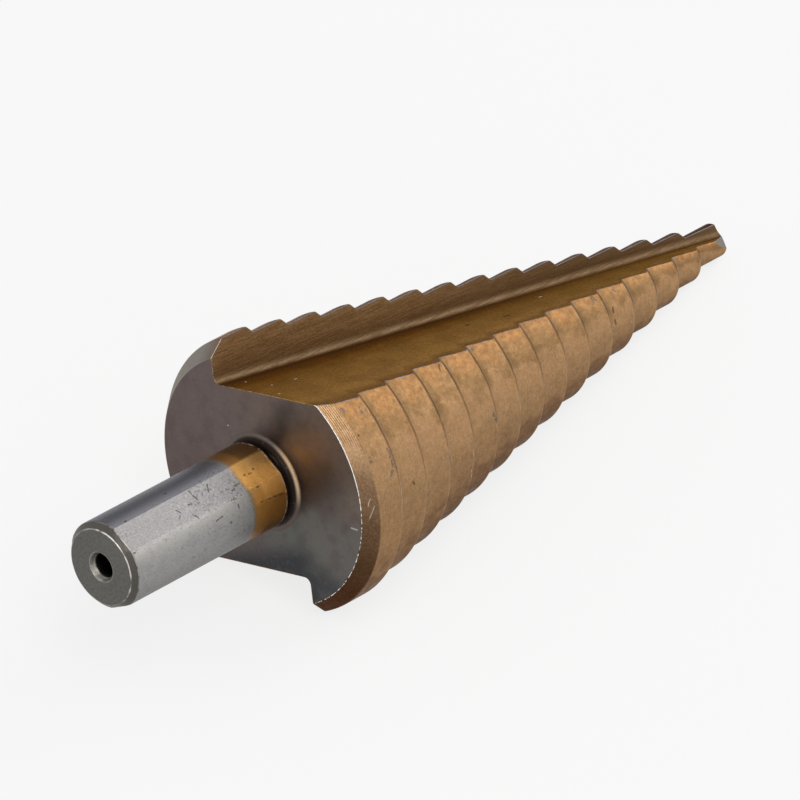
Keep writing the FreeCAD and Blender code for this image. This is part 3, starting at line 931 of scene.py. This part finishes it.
# Marks of use, each where the real drill has it
chips = strokes(point, 0.30, [
    ((15.14, -22.7, 4.2), (15.16, -20.5, 4.2)), ((15.15, -21.3, 4.9), (15.17, -20.1, 4.8)),
    ((15.11, -26.1, 2.1), (15.12, -24.4, 2.1)), ((15.35, -2.7, 5.0), (15.42, 4.3, 5.0)),
    ((15.43, 5.8, 4.7), (15.45, 7.1, 4.4)), ((15.34, -2.9, 2.2), (15.37, -0.3, 2.1)),
    ((11.62, 12.3, 24.9), (11.66, 17.0, 25.1)), ((6.61, -22.2, 49.1), (6.64, -17.2, 49.2)),
    ((5.66, -23.8, 53.4), (5.68, -18.2, 53.6)), ((11.31, -28.5, 25.6), (10.38, -25.5, 26.6)),
])
rubbed = strokes(point, 0.07, [
    ((12.59, 11.6, 19.9), (12.70, 25.2, 20.1)), ((12.77, 33.3, 19.9), (12.81, 39.0, 20.2)),
    ((10.63, 9.5, 30.4), (10.72, 21.8, 30.2)), ((11.68, 19.8, 25.3), (11.74, 27.4, 25.4)),
    ((15.28, 16.0, 1.3), (14.91, 22.0, 0.68)), ((15.06, 12.6, 0.98), (14.90, 15.8, 0.66)),
])
stains = strokes(point, 0.17, [
    ((14.58, 16.6, 8.3), (14.59, 17.8, 8.4)), ((12.68, 22.5, 20.6), (12.68, 23.3, 20.7)),
    ((15.23, -13.6, 2.1), (15.23, -13.2, 2.1)), ((5.75, -2.2, 52.1), (5.77, 3.6, 52.0)),
    ((5.81, 12.1, 51.9), (5.82, 16.8, 52.0)), ((12.27, -25.3, 19.6), (12.30, -22.7, 19.3)),
])
flecks = effect(point, pits, Spacing=2.6, Size=0.16, Share=0.14)
specks = effect(point, pits, Spacing=0.9, Size=0.07, Share=0.25)
chips_left = cloud(point, 3.0, 3.0).mapped(0.40, 0.55)
tone = layered(tone, [
    ("chamfer", on_chamfer, chamfer_tone_and_shade),
    ("shade past a step", in_lee * swept.mapped(0.62, 0.92) * 0.50, (0.125, 0.082, 0.038)),
    ("darker in a corner", corner_darkening, (0.105, 0.078, 0.058)),
    ("worn line", worn_line * patchy * 0.75, (0.560, 0.480, 0.390)),
    ("chips in a corner", chipped * 0.65, (0.130, 0.126, 0.130)),
    ("worn crest", mark("crest").mapped(0.3, 1.0, 0.0, 0.40) * patchy, (0.440, 0.290, 0.165)),
    ("heel rim", heel_rim * along.mapped(20.0, 50.0, 0.75, 0.15), (0.300, 0.300, 0.320)),
    ("bare margin", margin, (0.215, 0.215, 0.240)),
    ("lip rim", lip_rim * 0.4, (0.200, 0.200, 0.215)),
    ("burr on the lip", lip_burr * 0.8, (0.640, 0.560, 0.470)),
    ("burr and painted glint on the back edge", burr, BURR_AND_GLINT_TONE),
    ("chips", chips * chips_left * 0.75, (0.092, 0.090, 0.092)),
    ("rubbed lines", rubbed * 0.60, (0.600, 0.520, 0.430)),
    ("stains", stains * 0.70, (0.070, 0.028, 0.014)),
    ("grey flecks", flecks * 0.6, (0.130, 0.120, 0.115)),
    ("dark specks", specks * 0.65, (0.075, 0.042, 0.022)),
    ("ground facets", mark("thinned"), (0.215, 0.205, 0.195)),
])
relief = ridge * ridge_share + (speckle + mottle * 1.2) - (chips + flecks) * 1.2
surfaced(surface, tone, mottle.mapped(0.3, 0.7, 0.40, 0.52), relief, LAND_GRAIN_DEPTH)

# The flutes carry the same coat on a coarser milled surface that throws light
# back dully. Fine lines run along the cutting face, and the floor is stained.
# The fillet and the wall just above it are painted darker, and the fillet's foot
# darker still, as painted shade in the corner.
FLUTE_GRAIN_DEPTH = 0.022 * MM
coated_flutes, surface, place, mark = finish("coated_flutes", 0.55)
surface.inputs["Specular Tint"].default_value = (0.60, 0.36, 0.12, 1)
surface.inputs["Specular IOR Level"].default_value = 0.16
along = place["Along"]
point = shaken(place["Point"], 1.7, 0.20)
along_lines = cloud(point, 5.0, 5.0, (1.0, 1.0, 0.07))
long_lines = cloud(point, 1.6, 3.0, (1.0, 1.0, 0.03))
stain = cloud(point, 0.35, 5.0)
grit = cloud(point, 3.6, 5.0)
on_wall = mark("wall")
across = mark("across")
floor_tone = toned(across, [
    (0.00, (0.078, 0.032, 0.004)), (0.10, (0.112, 0.048, 0.006)), (0.25, (0.195, 0.096, 0.019)),
    (0.42, (0.290, 0.152, 0.038)), (0.70, (0.300, 0.156, 0.035)), (0.85, (0.325, 0.172, 0.040)),
    (0.95, (0.230, 0.116, 0.020)), (1.00, (0.190, 0.092, 0.014)),
])
floor_tone = scaled(floor_tone, stain.mapped(0.36, 0.66, 0.90, 1.12))
further = along.mapped(30.0, 60.0, 0.0, 0.60)
floor_tone = layered(floor_tone, [("towards the point", further, (0.232, 0.120, 0.022))])
floor_tone = scaled(floor_tone, grit.mapped(0.28, 0.72, 1.22, 0.76))
wall_tone = mixed(along_lines.mapped(0.36, 0.62), (0.226, 0.131, 0.056), (0.282, 0.174, 0.084))
darker_lines = long_lines.mapped(0.38, 0.68, 0.0, 0.32)
wall_tone = layered(wall_tone, [("long lines", darker_lines, (0.125, 0.068, 0.030))])
wall_tone = scaled(wall_tone, grit.mapped(0.28, 0.72, 0.88, 1.14))
wall_tone = layered(wall_tone, [
    ("painted shade above the fillet", across.mapped(0.05, 0.65, 0.45, 0.0), (0.140, 0.072, 0.024)),
    ("below the lip", across.mapped(0.82, 1.00, 0.0, 0.35), (0.330, 0.215, 0.125)),
    ("towards the point", along.mapped(20.0, 60.0, 0.0, 0.75), (0.125, 0.075, 0.038)),
])
# The fillet is painted darker than the wall, as painted shade that holds down its highlight
fillet_tone_and_shade = mixed(along_lines.mapped(0.38, 0.62), (0.112, 0.068, 0.034), (0.165, 0.106, 0.060))
heel_rim = effect(point, broken_edge, Edge=mark("heel"), Grain=1.1, Loss=0.75)
# The burr on the back edge is partly a painted glint
burr = effect(point, broken_edge, Edge=mark("back_edge"), Grain=3.4, Loss=0.75)
stuck = strokes(point, 0.13, [
    ((10.12, -74.2, 3.1), (10.12, -74.0, 3.2)), ((10.92, -58.4, 1.1), (10.92, -58.2, 1.2)),
    ((9.73, -71.3, 6.2), (9.73, -71.1, 6.4)), ((10.58, -91.8, 2.4), (10.58, -91.6, 2.5)),
    ((4.60, -65.0, 45.5), (4.60, -65.0, 45.8)),
])
spots = effect(point, pits, Spacing=1.3, Size=0.12, Share=0.22)
sores = strokes(point, 0.26, [
    ((6.34, -48.1, 37.4), (6.34, -48.1, 37.9)), ((6.52, -59.2, 32.3), (6.52, -59.2, 32.7)),
])
tone = layered(mixed(on_wall, floor_tone, wall_tone), [
    ("fillet", mark("fillet"), fillet_tone_and_shade),
    ("painted shade at the foot of the fillet", mark("foot").mapped(0.1, 1.0) * 0.55, (0.060, 0.028, 0.010)),
    ("heel rim", heel_rim * along.mapped(20.0, 50.0, 0.60, 0.10), (0.260, 0.240, 0.230)),
    ("burr and painted glint on the back edge", burr * 0.8, (0.60, 0.55, 0.47)),
    ("stuck swarf", stuck, (0.78, 0.75, 0.70)),
    ("dark spots", spots * 0.6, (0.040, 0.020, 0.008)),
    ("sores", sores * 0.75, (0.030, 0.016, 0.007)),
])
relief = along_lines * on_wall * 1.8 + grit * 0.9
surfaced(surface, tone, grit.mapped(0.3, 0.7, 0.38, 0.50), relief, FLUTE_GRAIN_DEPTH)

# The back face is turned smooth and heat-tinted brown to purple grey. Its tone is
# painted lighter and darker in wedges round the shank, as painted light and shade
# from how the turning marks catch the light.
TURNING_PITCH = 0.35
BACK_GRAIN_DEPTH = 0.012 * MM
tinted_back, surface, place, mark = finish("tinted_back")
point = place["Point"]
haze = cloud(point, 0.45, 5.0)
film = cloud(point, 2.6, 5.0)
drift = cloud(point, 0.18, 2.0).mapped(0.3, 0.7, -0.02, 0.02)
wedge = place["Turn"].mapped(-math.pi, math.pi, curve="LINEAR") + drift
# The wedges of this ramp are painted light and shade
tone = toned(wedge, [
    (0.00, (0.107, 0.078, 0.073)), (0.17, (0.118, 0.090, 0.084)), (0.32, (0.132, 0.096, 0.084)),
    (0.375, (0.078, 0.061, 0.050)), (0.415, (0.138, 0.110, 0.096)), (0.440, (0.140, 0.114, 0.102)),
    (0.505, (0.108, 0.090, 0.080)), (0.556, (0.112, 0.092, 0.082)), (0.611, (0.125, 0.115, 0.104)),
    (0.70, (0.105, 0.106, 0.096)), (0.86, (0.102, 0.088, 0.082)), (1.00, (0.107, 0.078, 0.073)),
])
# Painted light in a wedge beside the heel
painted_light_by_heel = abs(wedge - 0.455).mapped(0.08, 0.15, 0.50, 0.0) * place["Out"].mapped(10.0, 13.2)
low_rim = part_of(point, "Y").mapped(6.6, 9.4) * 0.85 * wedge.mapped(0.64, 0.72)
# The burr on the back edge is partly a painted glint
burr_edge = mark("back_edge") * wedge.mapped(0.30, 0.36, 0.30, 1.0)
burr = back_burr_and_glint(shaken(point, 1.7, 0.25), place["Turn"], burr_edge)
larger_bits = strokes(point, 0.12, [
    ((7.07, -110.7, 0.0), (7.07, -110.5, 0.0)), ((12.98, 27.9, 0.0), (13.84, 27.3, 0.0)),
])
small_bits = effect(point, pits, Spacing=3.6, Size=0.075, Share=0.14)
stuck = small_bits.step("MAXIMUM", larger_bits)
nicks = effect(point, scratches, Way=(0.4, 0.2, 0.9), Spacing=3.0, Width=0.05, Share=0.12)
tone = layered(tone, [
    ("painted light in a wedge beside the heel", painted_light_by_heel, (0.200, 0.150, 0.118)),
    ("blue-black low rim", low_rim, (0.025, 0.028, 0.034)),
    ("purple haze", haze.mapped(0.48, 0.66, 0.0, 0.35), (0.082, 0.060, 0.062)),
    ("green haze", haze.mapped(0.46, 0.32, 0.0, 0.25), (0.120, 0.118, 0.100)),
    ("light film", film.mapped(0.54, 0.74, 0.0, 0.22), (0.170, 0.145, 0.130)),
    ("dark film", film.mapped(0.44, 0.28, 0.0, 0.22), (0.060, 0.046, 0.042)),
    ("burr and painted glint on the back edge", burr, BURR_AND_GLINT_TONE),
    ("stuck bits", stuck * 0.65, (0.50, 0.50, 0.50)),
    ("nicks", nicks * 0.4, (0.30, 0.28, 0.27)),
])
turning = (place["Out"] * (2 * math.pi / TURNING_PITCH)).step("SINE")
relief = turning * 0.05 + film * 0.6
surfaced(surface, tone, haze.mapped(0.3, 0.7, 0.36, 0.46), relief, BACK_GRAIN_DEPTH)

# Which finish each face of the cone has: the lands and the point, the flutes, or
# the back face, which is the first closing face and the two rows next to it
for material in (coated_lands, coated_flutes, tinted_back):
    cone.data.materials.append(material)
LANDS, FLUTES, BACK = 0, 1, 2
face_columns = np.where(np.tile(on_land, 2) > 0, LANDS, FLUTES)
face_rows = np.repeat(face_columns[None], row_total - 1, axis=0)
face_rows[:2] = BACK
face_rows[len(half) + len(land_end) + 1:] = LANDS
face_materials = np.concatenate([face_rows.ravel(), [BACK, LANDS]])
cone.data.polygons.foreach_set("material_index", face_materials.astype(np.int32))
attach(cone, "root")
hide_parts("step_drill")


# Shank. The same bar, turned to 10 mm, with three flats ground for the jaws of a
# chuck, a chamfer and a lathe centre hole at its end, and a round undercut where
# it meets the back face. It starts inside the cone, and has no coat of its own.
SHANK_RADIUS = 5.0
SHANK_END = -SHANK_LENGTH
END_RADIUS = 4.36
FLAT_DEPTH = 0.27
FLAT_END = -0.85
FLAT_RUN_OUT = 0.25
RUN_OUT_FADE = 0.06
FLAT_MARK_REACH = 0.05
FLAT_COUNT = 3
UNDERCUT_RADIUS = 0.9
UNDERCUT_CENTRE = (5.75, -0.9)
UNDERCUT_FOOT = -1.397
UNDERCUT_ROWS = 25
MOUTH_RADIUS = 1.71
BORE_RADIUS = 1.35
BORE_END = -21.2
BORE_TIP = -20.42
MOUTH_SLOPE = math.tan(math.radians(60))
SHANK_WEAR = [0.12, 0.12, 0.06, 0.05, 0.1]
SHAFT_ROWS = 40
PLAIN_TURN = 2.5
CLEAR_OF_EDGE = math.radians(3)
BLUNTNESS = 0.004
HIDDEN_START = [(4.5, 0.6), (6.3, 0.4), (6.05, 0.004), (5.9, 0.002)]
SHAFT_INSETS = (0.6, 1.0)
END_FINISH_LENGTH = 0.66

# Columns round the shank, in degrees: even ones, and close ones at each flat's edges
flat_radius = SHANK_RADIUS - FLAT_DEPTH
half_flat = math.acos(flat_radius / SHANK_RADIUS)
near_edge = np.radians([-2.2, -1.4, -0.8, -0.4, -0.15, 0.15, 0.4, 0.8, 1.4, 2.2])
flat_turns = FLAT_TURN + 2 * math.pi * np.arange(FLAT_COUNT) / FLAT_COUNT
edge_turns = (flat_turns[:, None] + np.array([-half_flat, half_flat])).ravel()
plain_turns = np.radians(np.arange(0, 360, PLAIN_TURN))
clear = np.abs(np.angle(np.exp(1j * (plain_turns[:, None] - edge_turns)))).min(axis=1)
close_turns = (edge_turns[:, None] + near_edge).ravel()
around = np.concatenate([plain_turns[clear > CLEAR_OF_EDGE], close_turns])
around = np.sort(np.mod(around, 2 * math.pi))[::-1]

# Profile of the shank: its hidden start inside the cone, the undercut, the bar,
# the end and the centre hole
foot_angle = math.pi + math.asin((UNDERCUT_CENTRE[1] - UNDERCUT_FOOT) / UNDERCUT_RADIUS)
arc = np.linspace(math.pi / 2, foot_angle, UNDERCUT_ROWS)
undercut = np.column_stack([
    UNDERCUT_CENTRE[0] + UNDERCUT_RADIUS * np.cos(arc),
    UNDERCUT_CENTRE[1] + UNDERCUT_RADIUS * np.sin(arc),
    0 * arc,
    0 * arc,
])
turned = worn_profile(
    [
        (SHANK_RADIUS, UNDERCUT_FOOT - 0.25),
        (SHANK_RADIUS, SHANK_END + SHANK_RADIUS - END_RADIUS),
        (END_RADIUS, SHANK_END),
        (MOUTH_RADIUS, SHANK_END),
        (BORE_RADIUS, SHANK_END + (MOUTH_RADIUS - BORE_RADIUS) * MOUTH_SLOPE),
        (BORE_RADIUS, BORE_END),
        (0.06, BORE_TIP),
    ],
    SHANK_WEAR,
)
hidden = np.pad(HIDDEN_START, ((0, 0), (0, 2)))
shaft_z = np.linspace(
    UNDERCUT_FOOT - SHAFT_INSETS[0], SHANK_END + SHAFT_INSETS[1], SHAFT_ROWS
)
shaft = np.column_stack([0 * shaft_z + SHANK_RADIUS, shaft_z, 0 * shaft_z, 0 * shaft_z])
shank_profile = np.vstack([hidden, undercut, turned[:1], shaft, turned[1:]])
shank_radius, shank_z, _, shank_worn = shank_profile.T

# A flat cuts every row that stands out past it, and runs out on a curve. Where a
# row is cut, its radius is r - (g + sqrt(g^2 + b^2)) / 2, g being how far it
# stands out past the flat and b its bluntness.
off_flat = np.abs(np.angle(np.exp(1j * (around[:, None] - flat_turns)))).min(axis=1)
facing = np.cos(off_flat)
flat_reach = np.where(facing > 0.5, flat_radius / facing, 2 * SHANK_RADIUS)
run_out_z = FLAT_END - FLAT_RUN_OUT * (off_flat / half_flat) ** 2
past_end = np.clip((shank_z[:, None] - run_out_z) / RUN_OUT_FADE, 0, 1)
gap = shank_radius[:, None] - (flat_reach[None] + past_end * SHANK_RADIUS)
cut = 0.5 * (gap + np.sqrt(gap**2 + BLUNTNESS**2)) * (gap > -0.5)
row_radius = shank_radius[:, None] - cut
shank_rows = np.stack([
    row_radius * np.cos(around),
    row_radius * np.sin(around),
    np.repeat(shank_z[:, None], len(around), 1),
], axis=-1)
shank = ringed_mesh("shank", shank_rows[::-1])
marked(shank.data, "flat", np.clip(1 + gap / FLAT_MARK_REACH, 0, 1)[::-1])
marked(shank.data, "worn", np.repeat(shank_worn[::-1, None], len(around), 1))

# Bare steel, dull and scratched, with a band at the root where the coat crept up
# in the furnace: gold, then straw, then a pale blue edge. Round the shank, the steel
# and the gold carry painted light and shade: the steel lighter just below the first
# flat and darker on top and low down, the gold brightest on the first flat and
# browner away from the root.
SHANK_GRAIN_DEPTH = 0.012 * MM
bare_shank, surface, place, mark = finish("bare_shank")
along = place["Along"]
point = shaken(place["Point"], 2.6, 0.22)
grain = cloud(point, 6.0, 4.0, (1.0, 1.0, 0.30))
patch = cloud(point, 0.6, 4.0)
frost = cloud(point, 5.2, 6.0)
# The steel's tone by its turn round the shank is painted light and shade
turn_share = place["Turn"].mapped(-math.pi, math.pi, curve="LINEAR")
tone = toned(turn_share, [
    (0.000, (0.220, 0.216, 0.216)), (0.208, (0.138, 0.137, 0.156)), (0.305, (0.190, 0.189, 0.213)),
    (0.350, (0.252, 0.250, 0.274)), (0.360, (0.225, 0.214, 0.212)), (0.458, (0.225, 0.214, 0.212)),
    (0.468, (0.395, 0.380, 0.362)), (0.570, (0.320, 0.312, 0.304)), (0.690, (0.135, 0.132, 0.128)),
    (1.000, (0.220, 0.216, 0.216)),
])
# The gold's tone by its turn round the shank is painted light and shade, brightest on the first
# flat
gold_with_painted_light = toned(turn_share, [
    (0.000, (0.140, 0.064, 0.018)), (0.345, (0.160, 0.080, 0.026)), (0.360, (0.560, 0.320, 0.110)),
    (0.430, (0.980, 0.520, 0.150)), (0.468, (1.000, 0.530, 0.150)), (0.515, (0.820, 0.400, 0.100)),
    (0.535, (0.480, 0.225, 0.050)), (0.600, (0.400, 0.175, 0.036)), (0.660, (0.210, 0.090, 0.018)),
    (1.000, (0.140, 0.064, 0.018)),
])
gold_with_painted_light = layered(gold_with_painted_light, [
    ("dark frost", frost.mapped(0.54, 0.72, 0.0, 0.30), (0.200, 0.100, 0.028)),
    ("dark patches", patch.mapped(0.52, 0.68, 0.0, 0.18), (0.300, 0.160, 0.045)),
    ("painted shade away from the root", along.mapped(-5.00, -4.20, 0.50, 0.0), (0.420, 0.205, 0.050)),
])
band_edge = along + (frost.mapped(0.25, 0.75, -0.16, 0.16) + mark("flat") * 0.12)

# At the root: a painted highlight on the rim of the bar, and the ring of the
# undercut, with a painted highlight on the side towards the light and painted
# shade beside the bar
# The rim is a painted highlight where the bar meets the undercut
rim = along.mapped(-1.66, -1.54) * band_edge.mapped(-6.5, -6.0)
rim_highlight_kept = cloud(point, 2.2, 3.0).mapped(0.40, 0.58)
# The ring's tone is painted light and shade: a highlight towards the light, black beside the bar
ring_highlight_tone = mixed(place["Out"].mapped(5.56, 5.72), (0.640, 0.480, 0.310), (0.200, 0.150, 0.110))
ring_highlight_share = abs(turn_share - 0.487).mapped(0.02, 0.13, 1.0, 0.0)
ring_light_and_shade = mixed(ring_highlight_share, (0.105, 0.082, 0.070), ring_highlight_tone)
ring_light_and_shade = layered(ring_light_and_shade, [
    ("painted shade beside the bar", place["Out"].mapped(5.38, 5.08), (0.020, 0.014, 0.011)),
])

# Gouges where the real shank has them, and finer scratches, pits and scuffs
gouges = strokes(point, 0.13, [
    ((4.97, 7.0, -5.3), (4.97, 10.8, -1.9)), ((4.74, -34.6, -16.15), (4.74, -29.1, -15.86)),
    ((4.86, -19.7, -14.68), (5.0, -12.5, -14.31)), ((5.0, 1.4, -12.15), (5.0, 0.0, -11.14)),
    ((4.76, -39.2, -11.74), (4.74, -36.2, -11.87)), ((4.88, -46.7, -10.46), (4.74, -36.3, -10.91)),
    ((4.79, -41.8, -13.01), (4.73, -34.5, -12.87)), ((4.93, -49.2, -13.04), (4.78, -40.9, -13.0)),
    ((4.76, -26.4, -7.56), (4.75, -26.9, -6.91)), ((4.80, -22.9, -8.27), (4.79, -23.5, -7.87)),
    ((4.96, -15.4, -8.69), (5.0, -12.6, -8.80)), ((5.0, -3.4, -8.57), (5.0, 0.9, -8.57)),
    ((4.77, -25.6, -16.21), (4.78, -24.3, -16.48)), ((4.73, -33.8, -14.39), (4.73, -33.1, -13.76)),
    ((5.0, -63.2, -15.5), (5.0, -63.2, -15.3)), ((5.0, -53.3, -22.6), (5.0, -53.3, -22.4)),
    ((5.0, -11.5, -24.4), (5.0, -11.5, -24.2)), ((5.0, 12.1, -10.3), (5.0, 12.1, -10.1)),
    ((4.74, -32.1, -4.9), (4.74, -32.1, -4.6)), ((4.73, -33.7, -5.6), (4.73, -33.7, -5.4)),
    ((5.0, -12.0, -5.2), (5.0, -12.0, -4.9)), ((4.74, -35.3, -4.1), (4.74, -35.3, -3.9)),
])
gouges = gouges * cloud(point, 4.5, 3.0).mapped(0.34, 0.52)
one_way = effect(point, scratches, Way=(0.3, 0.9, 0.2), Spacing=1.3, Width=0.05, Share=0.26)
other_way = effect(point, scratches, Way=(1.9, 0.4, 1.1), Spacing=1.8, Width=0.05, Share=0.30)
dots = effect(point, pits, Spacing=1.2, Size=0.09, Share=0.16)
jaw_marks = strokes(point, 1.9, [
    ((4.76, -41.0, -10.8), (4.73, -30.0, -12.8)), ((4.74, -30.0, -7.4), (4.80, -22.0, -8.6)),
])
scuffed = cloud(point, 0.55, 3.0).mapped(0.54, 0.64, 0.0, 0.7).step("MAXIMUM", jaw_marks)
scuffs = effect(shaken(point, 6.0, 0.5), pits, Spacing=0.34, Size=0.12, Share=0.62)
SCRATCH_TONE = (0.072, 0.070, 0.074)
tone = layered(tone, [
    ("dull patches", patch.mapped(0.50, 0.66, 0.0, 0.16), (0.190, 0.185, 0.188)),
    ("grain", grain.mapped(0.50, 0.70, 0.0, 0.30), (0.150, 0.150, 0.158)),
    ("dark frost", frost.mapped(0.54, 0.75, 0.0, 0.26), (0.130, 0.128, 0.130)),
    ("light frost", frost.mapped(0.46, 0.26, 0.0, 0.16), (0.450, 0.440, 0.425)),
    ("pale blue edge", band_edge.mapped(-7.20, -6.70, 0.0, 0.45), (0.290, 0.305, 0.325)),
    ("straw", band_edge.mapped(-6.90, -6.35), (0.270, 0.200, 0.112)),
    ("gold", band_edge.mapped(-6.70, -5.80), gold_with_painted_light),
    ("painted highlight on the rim", rim * rim_highlight_kept * 0.85, (0.900, 0.740, 0.500)),
    ("undercut", along.mapped(-1.42, -1.34), ring_light_and_shade),
    ("gouges", gouges * 0.85, (0.062, 0.056, 0.058)),
    ("scratches one way", one_way * 0.58, SCRATCH_TONE),
    ("scratches the other way", other_way * 0.58, SCRATCH_TONE),
    ("pits", dots * 0.55, (0.075, 0.062, 0.055)),
    ("scuffs", scuffs * scuffed * 0.65, (0.085, 0.080, 0.082)),
])
relief = grain * 0.6 + frost * 0.9 - gouges
surfaced(surface, tone, frost.mapped(0.3, 0.7, 0.38, 0.50), relief, SHANK_GRAIN_DEPTH)

# The turned end and its chamfer keep the marks of the tool, and a worn bright edge
# with a painted highlight, widest on the side towards the light. Inside the centre
# hole is painted shade.
END_RING_PITCH = 0.17
END_GRAIN_DEPTH = 0.014 * MM
turned_end, surface, place, mark = finish("turned_end")
along = place["Along"]
point = shaken(place["Point"], 2.6, 0.06)
film = cloud(point, 4.0, 6.0)
rings = (place["Out"] * (2 * math.pi / END_RING_PITCH)).step("SINE")
# The worn edge is partly a painted highlight, widest towards the light
rub_and_highlight = effect(point, broken_edge, Edge=mark("worn"), Grain=1.2, Loss=0.66)
rub_and_highlight = rub_and_highlight * abs(place["Turn"] + 0.35).mapped(0.6, 1.6, 1.0, 0.30)
rub_and_highlight = rub_and_highlight * along.mapped(-24.90, -24.75, 1.0, 0.45)
mouth = place["Out"].mapped(1.80, 1.70) * along.mapped(-24.55, -24.65)
mouth_wear = cloud(place["Point"], 1.1, 4.0).mapped(0.36, 0.62, 0.25, 0.90)
tone = layered(mixed(film.mapped(0.30, 0.70), (0.096, 0.093, 0.084), (0.136, 0.132, 0.122)), [
    ("tool marks", rings.mapped(0.2, 1.0, 0.0, 0.30), (0.060, 0.058, 0.054)),
    ("chamfer", place["Out"].mapped(4.38, 4.52) * 0.60, (0.078, 0.068, 0.060)),
    ("worn edges and painted highlight", rub_and_highlight * 0.95, (0.58, 0.55, 0.49)),
    ("mouth of the hole", mouth * mouth_wear, (0.38, 0.36, 0.32)),
    ("painted shade inside the hole", along.mapped(-24.5, -23.6), (0.03, 0.028, 0.024)),
])
relief = rings * 0.30 + film * 0.6
surfaced(surface, tone, film.mapped(0.3, 0.7, 0.36, 0.46), relief, END_GRAIN_DEPTH)

# The end's finish reaches just past its chamfer, and down the centre hole
for material in (bare_shank, turned_end):
    shank.data.materials.append(material)
face_z = np.repeat(shank_z[::-1][:-1], len(around))
face_out = np.repeat(shank_radius[::-1][:-1], len(around))
at_end = (face_z < SHANK_END + END_FINISH_LENGTH) | ((face_out < 3) & (face_z < 0))
face_materials = np.concatenate([at_end, [1, 0]])
shank.data.polygons.foreach_set("material_index", face_materials.astype(np.int32))
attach(shank, "root")
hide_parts("step_drill")
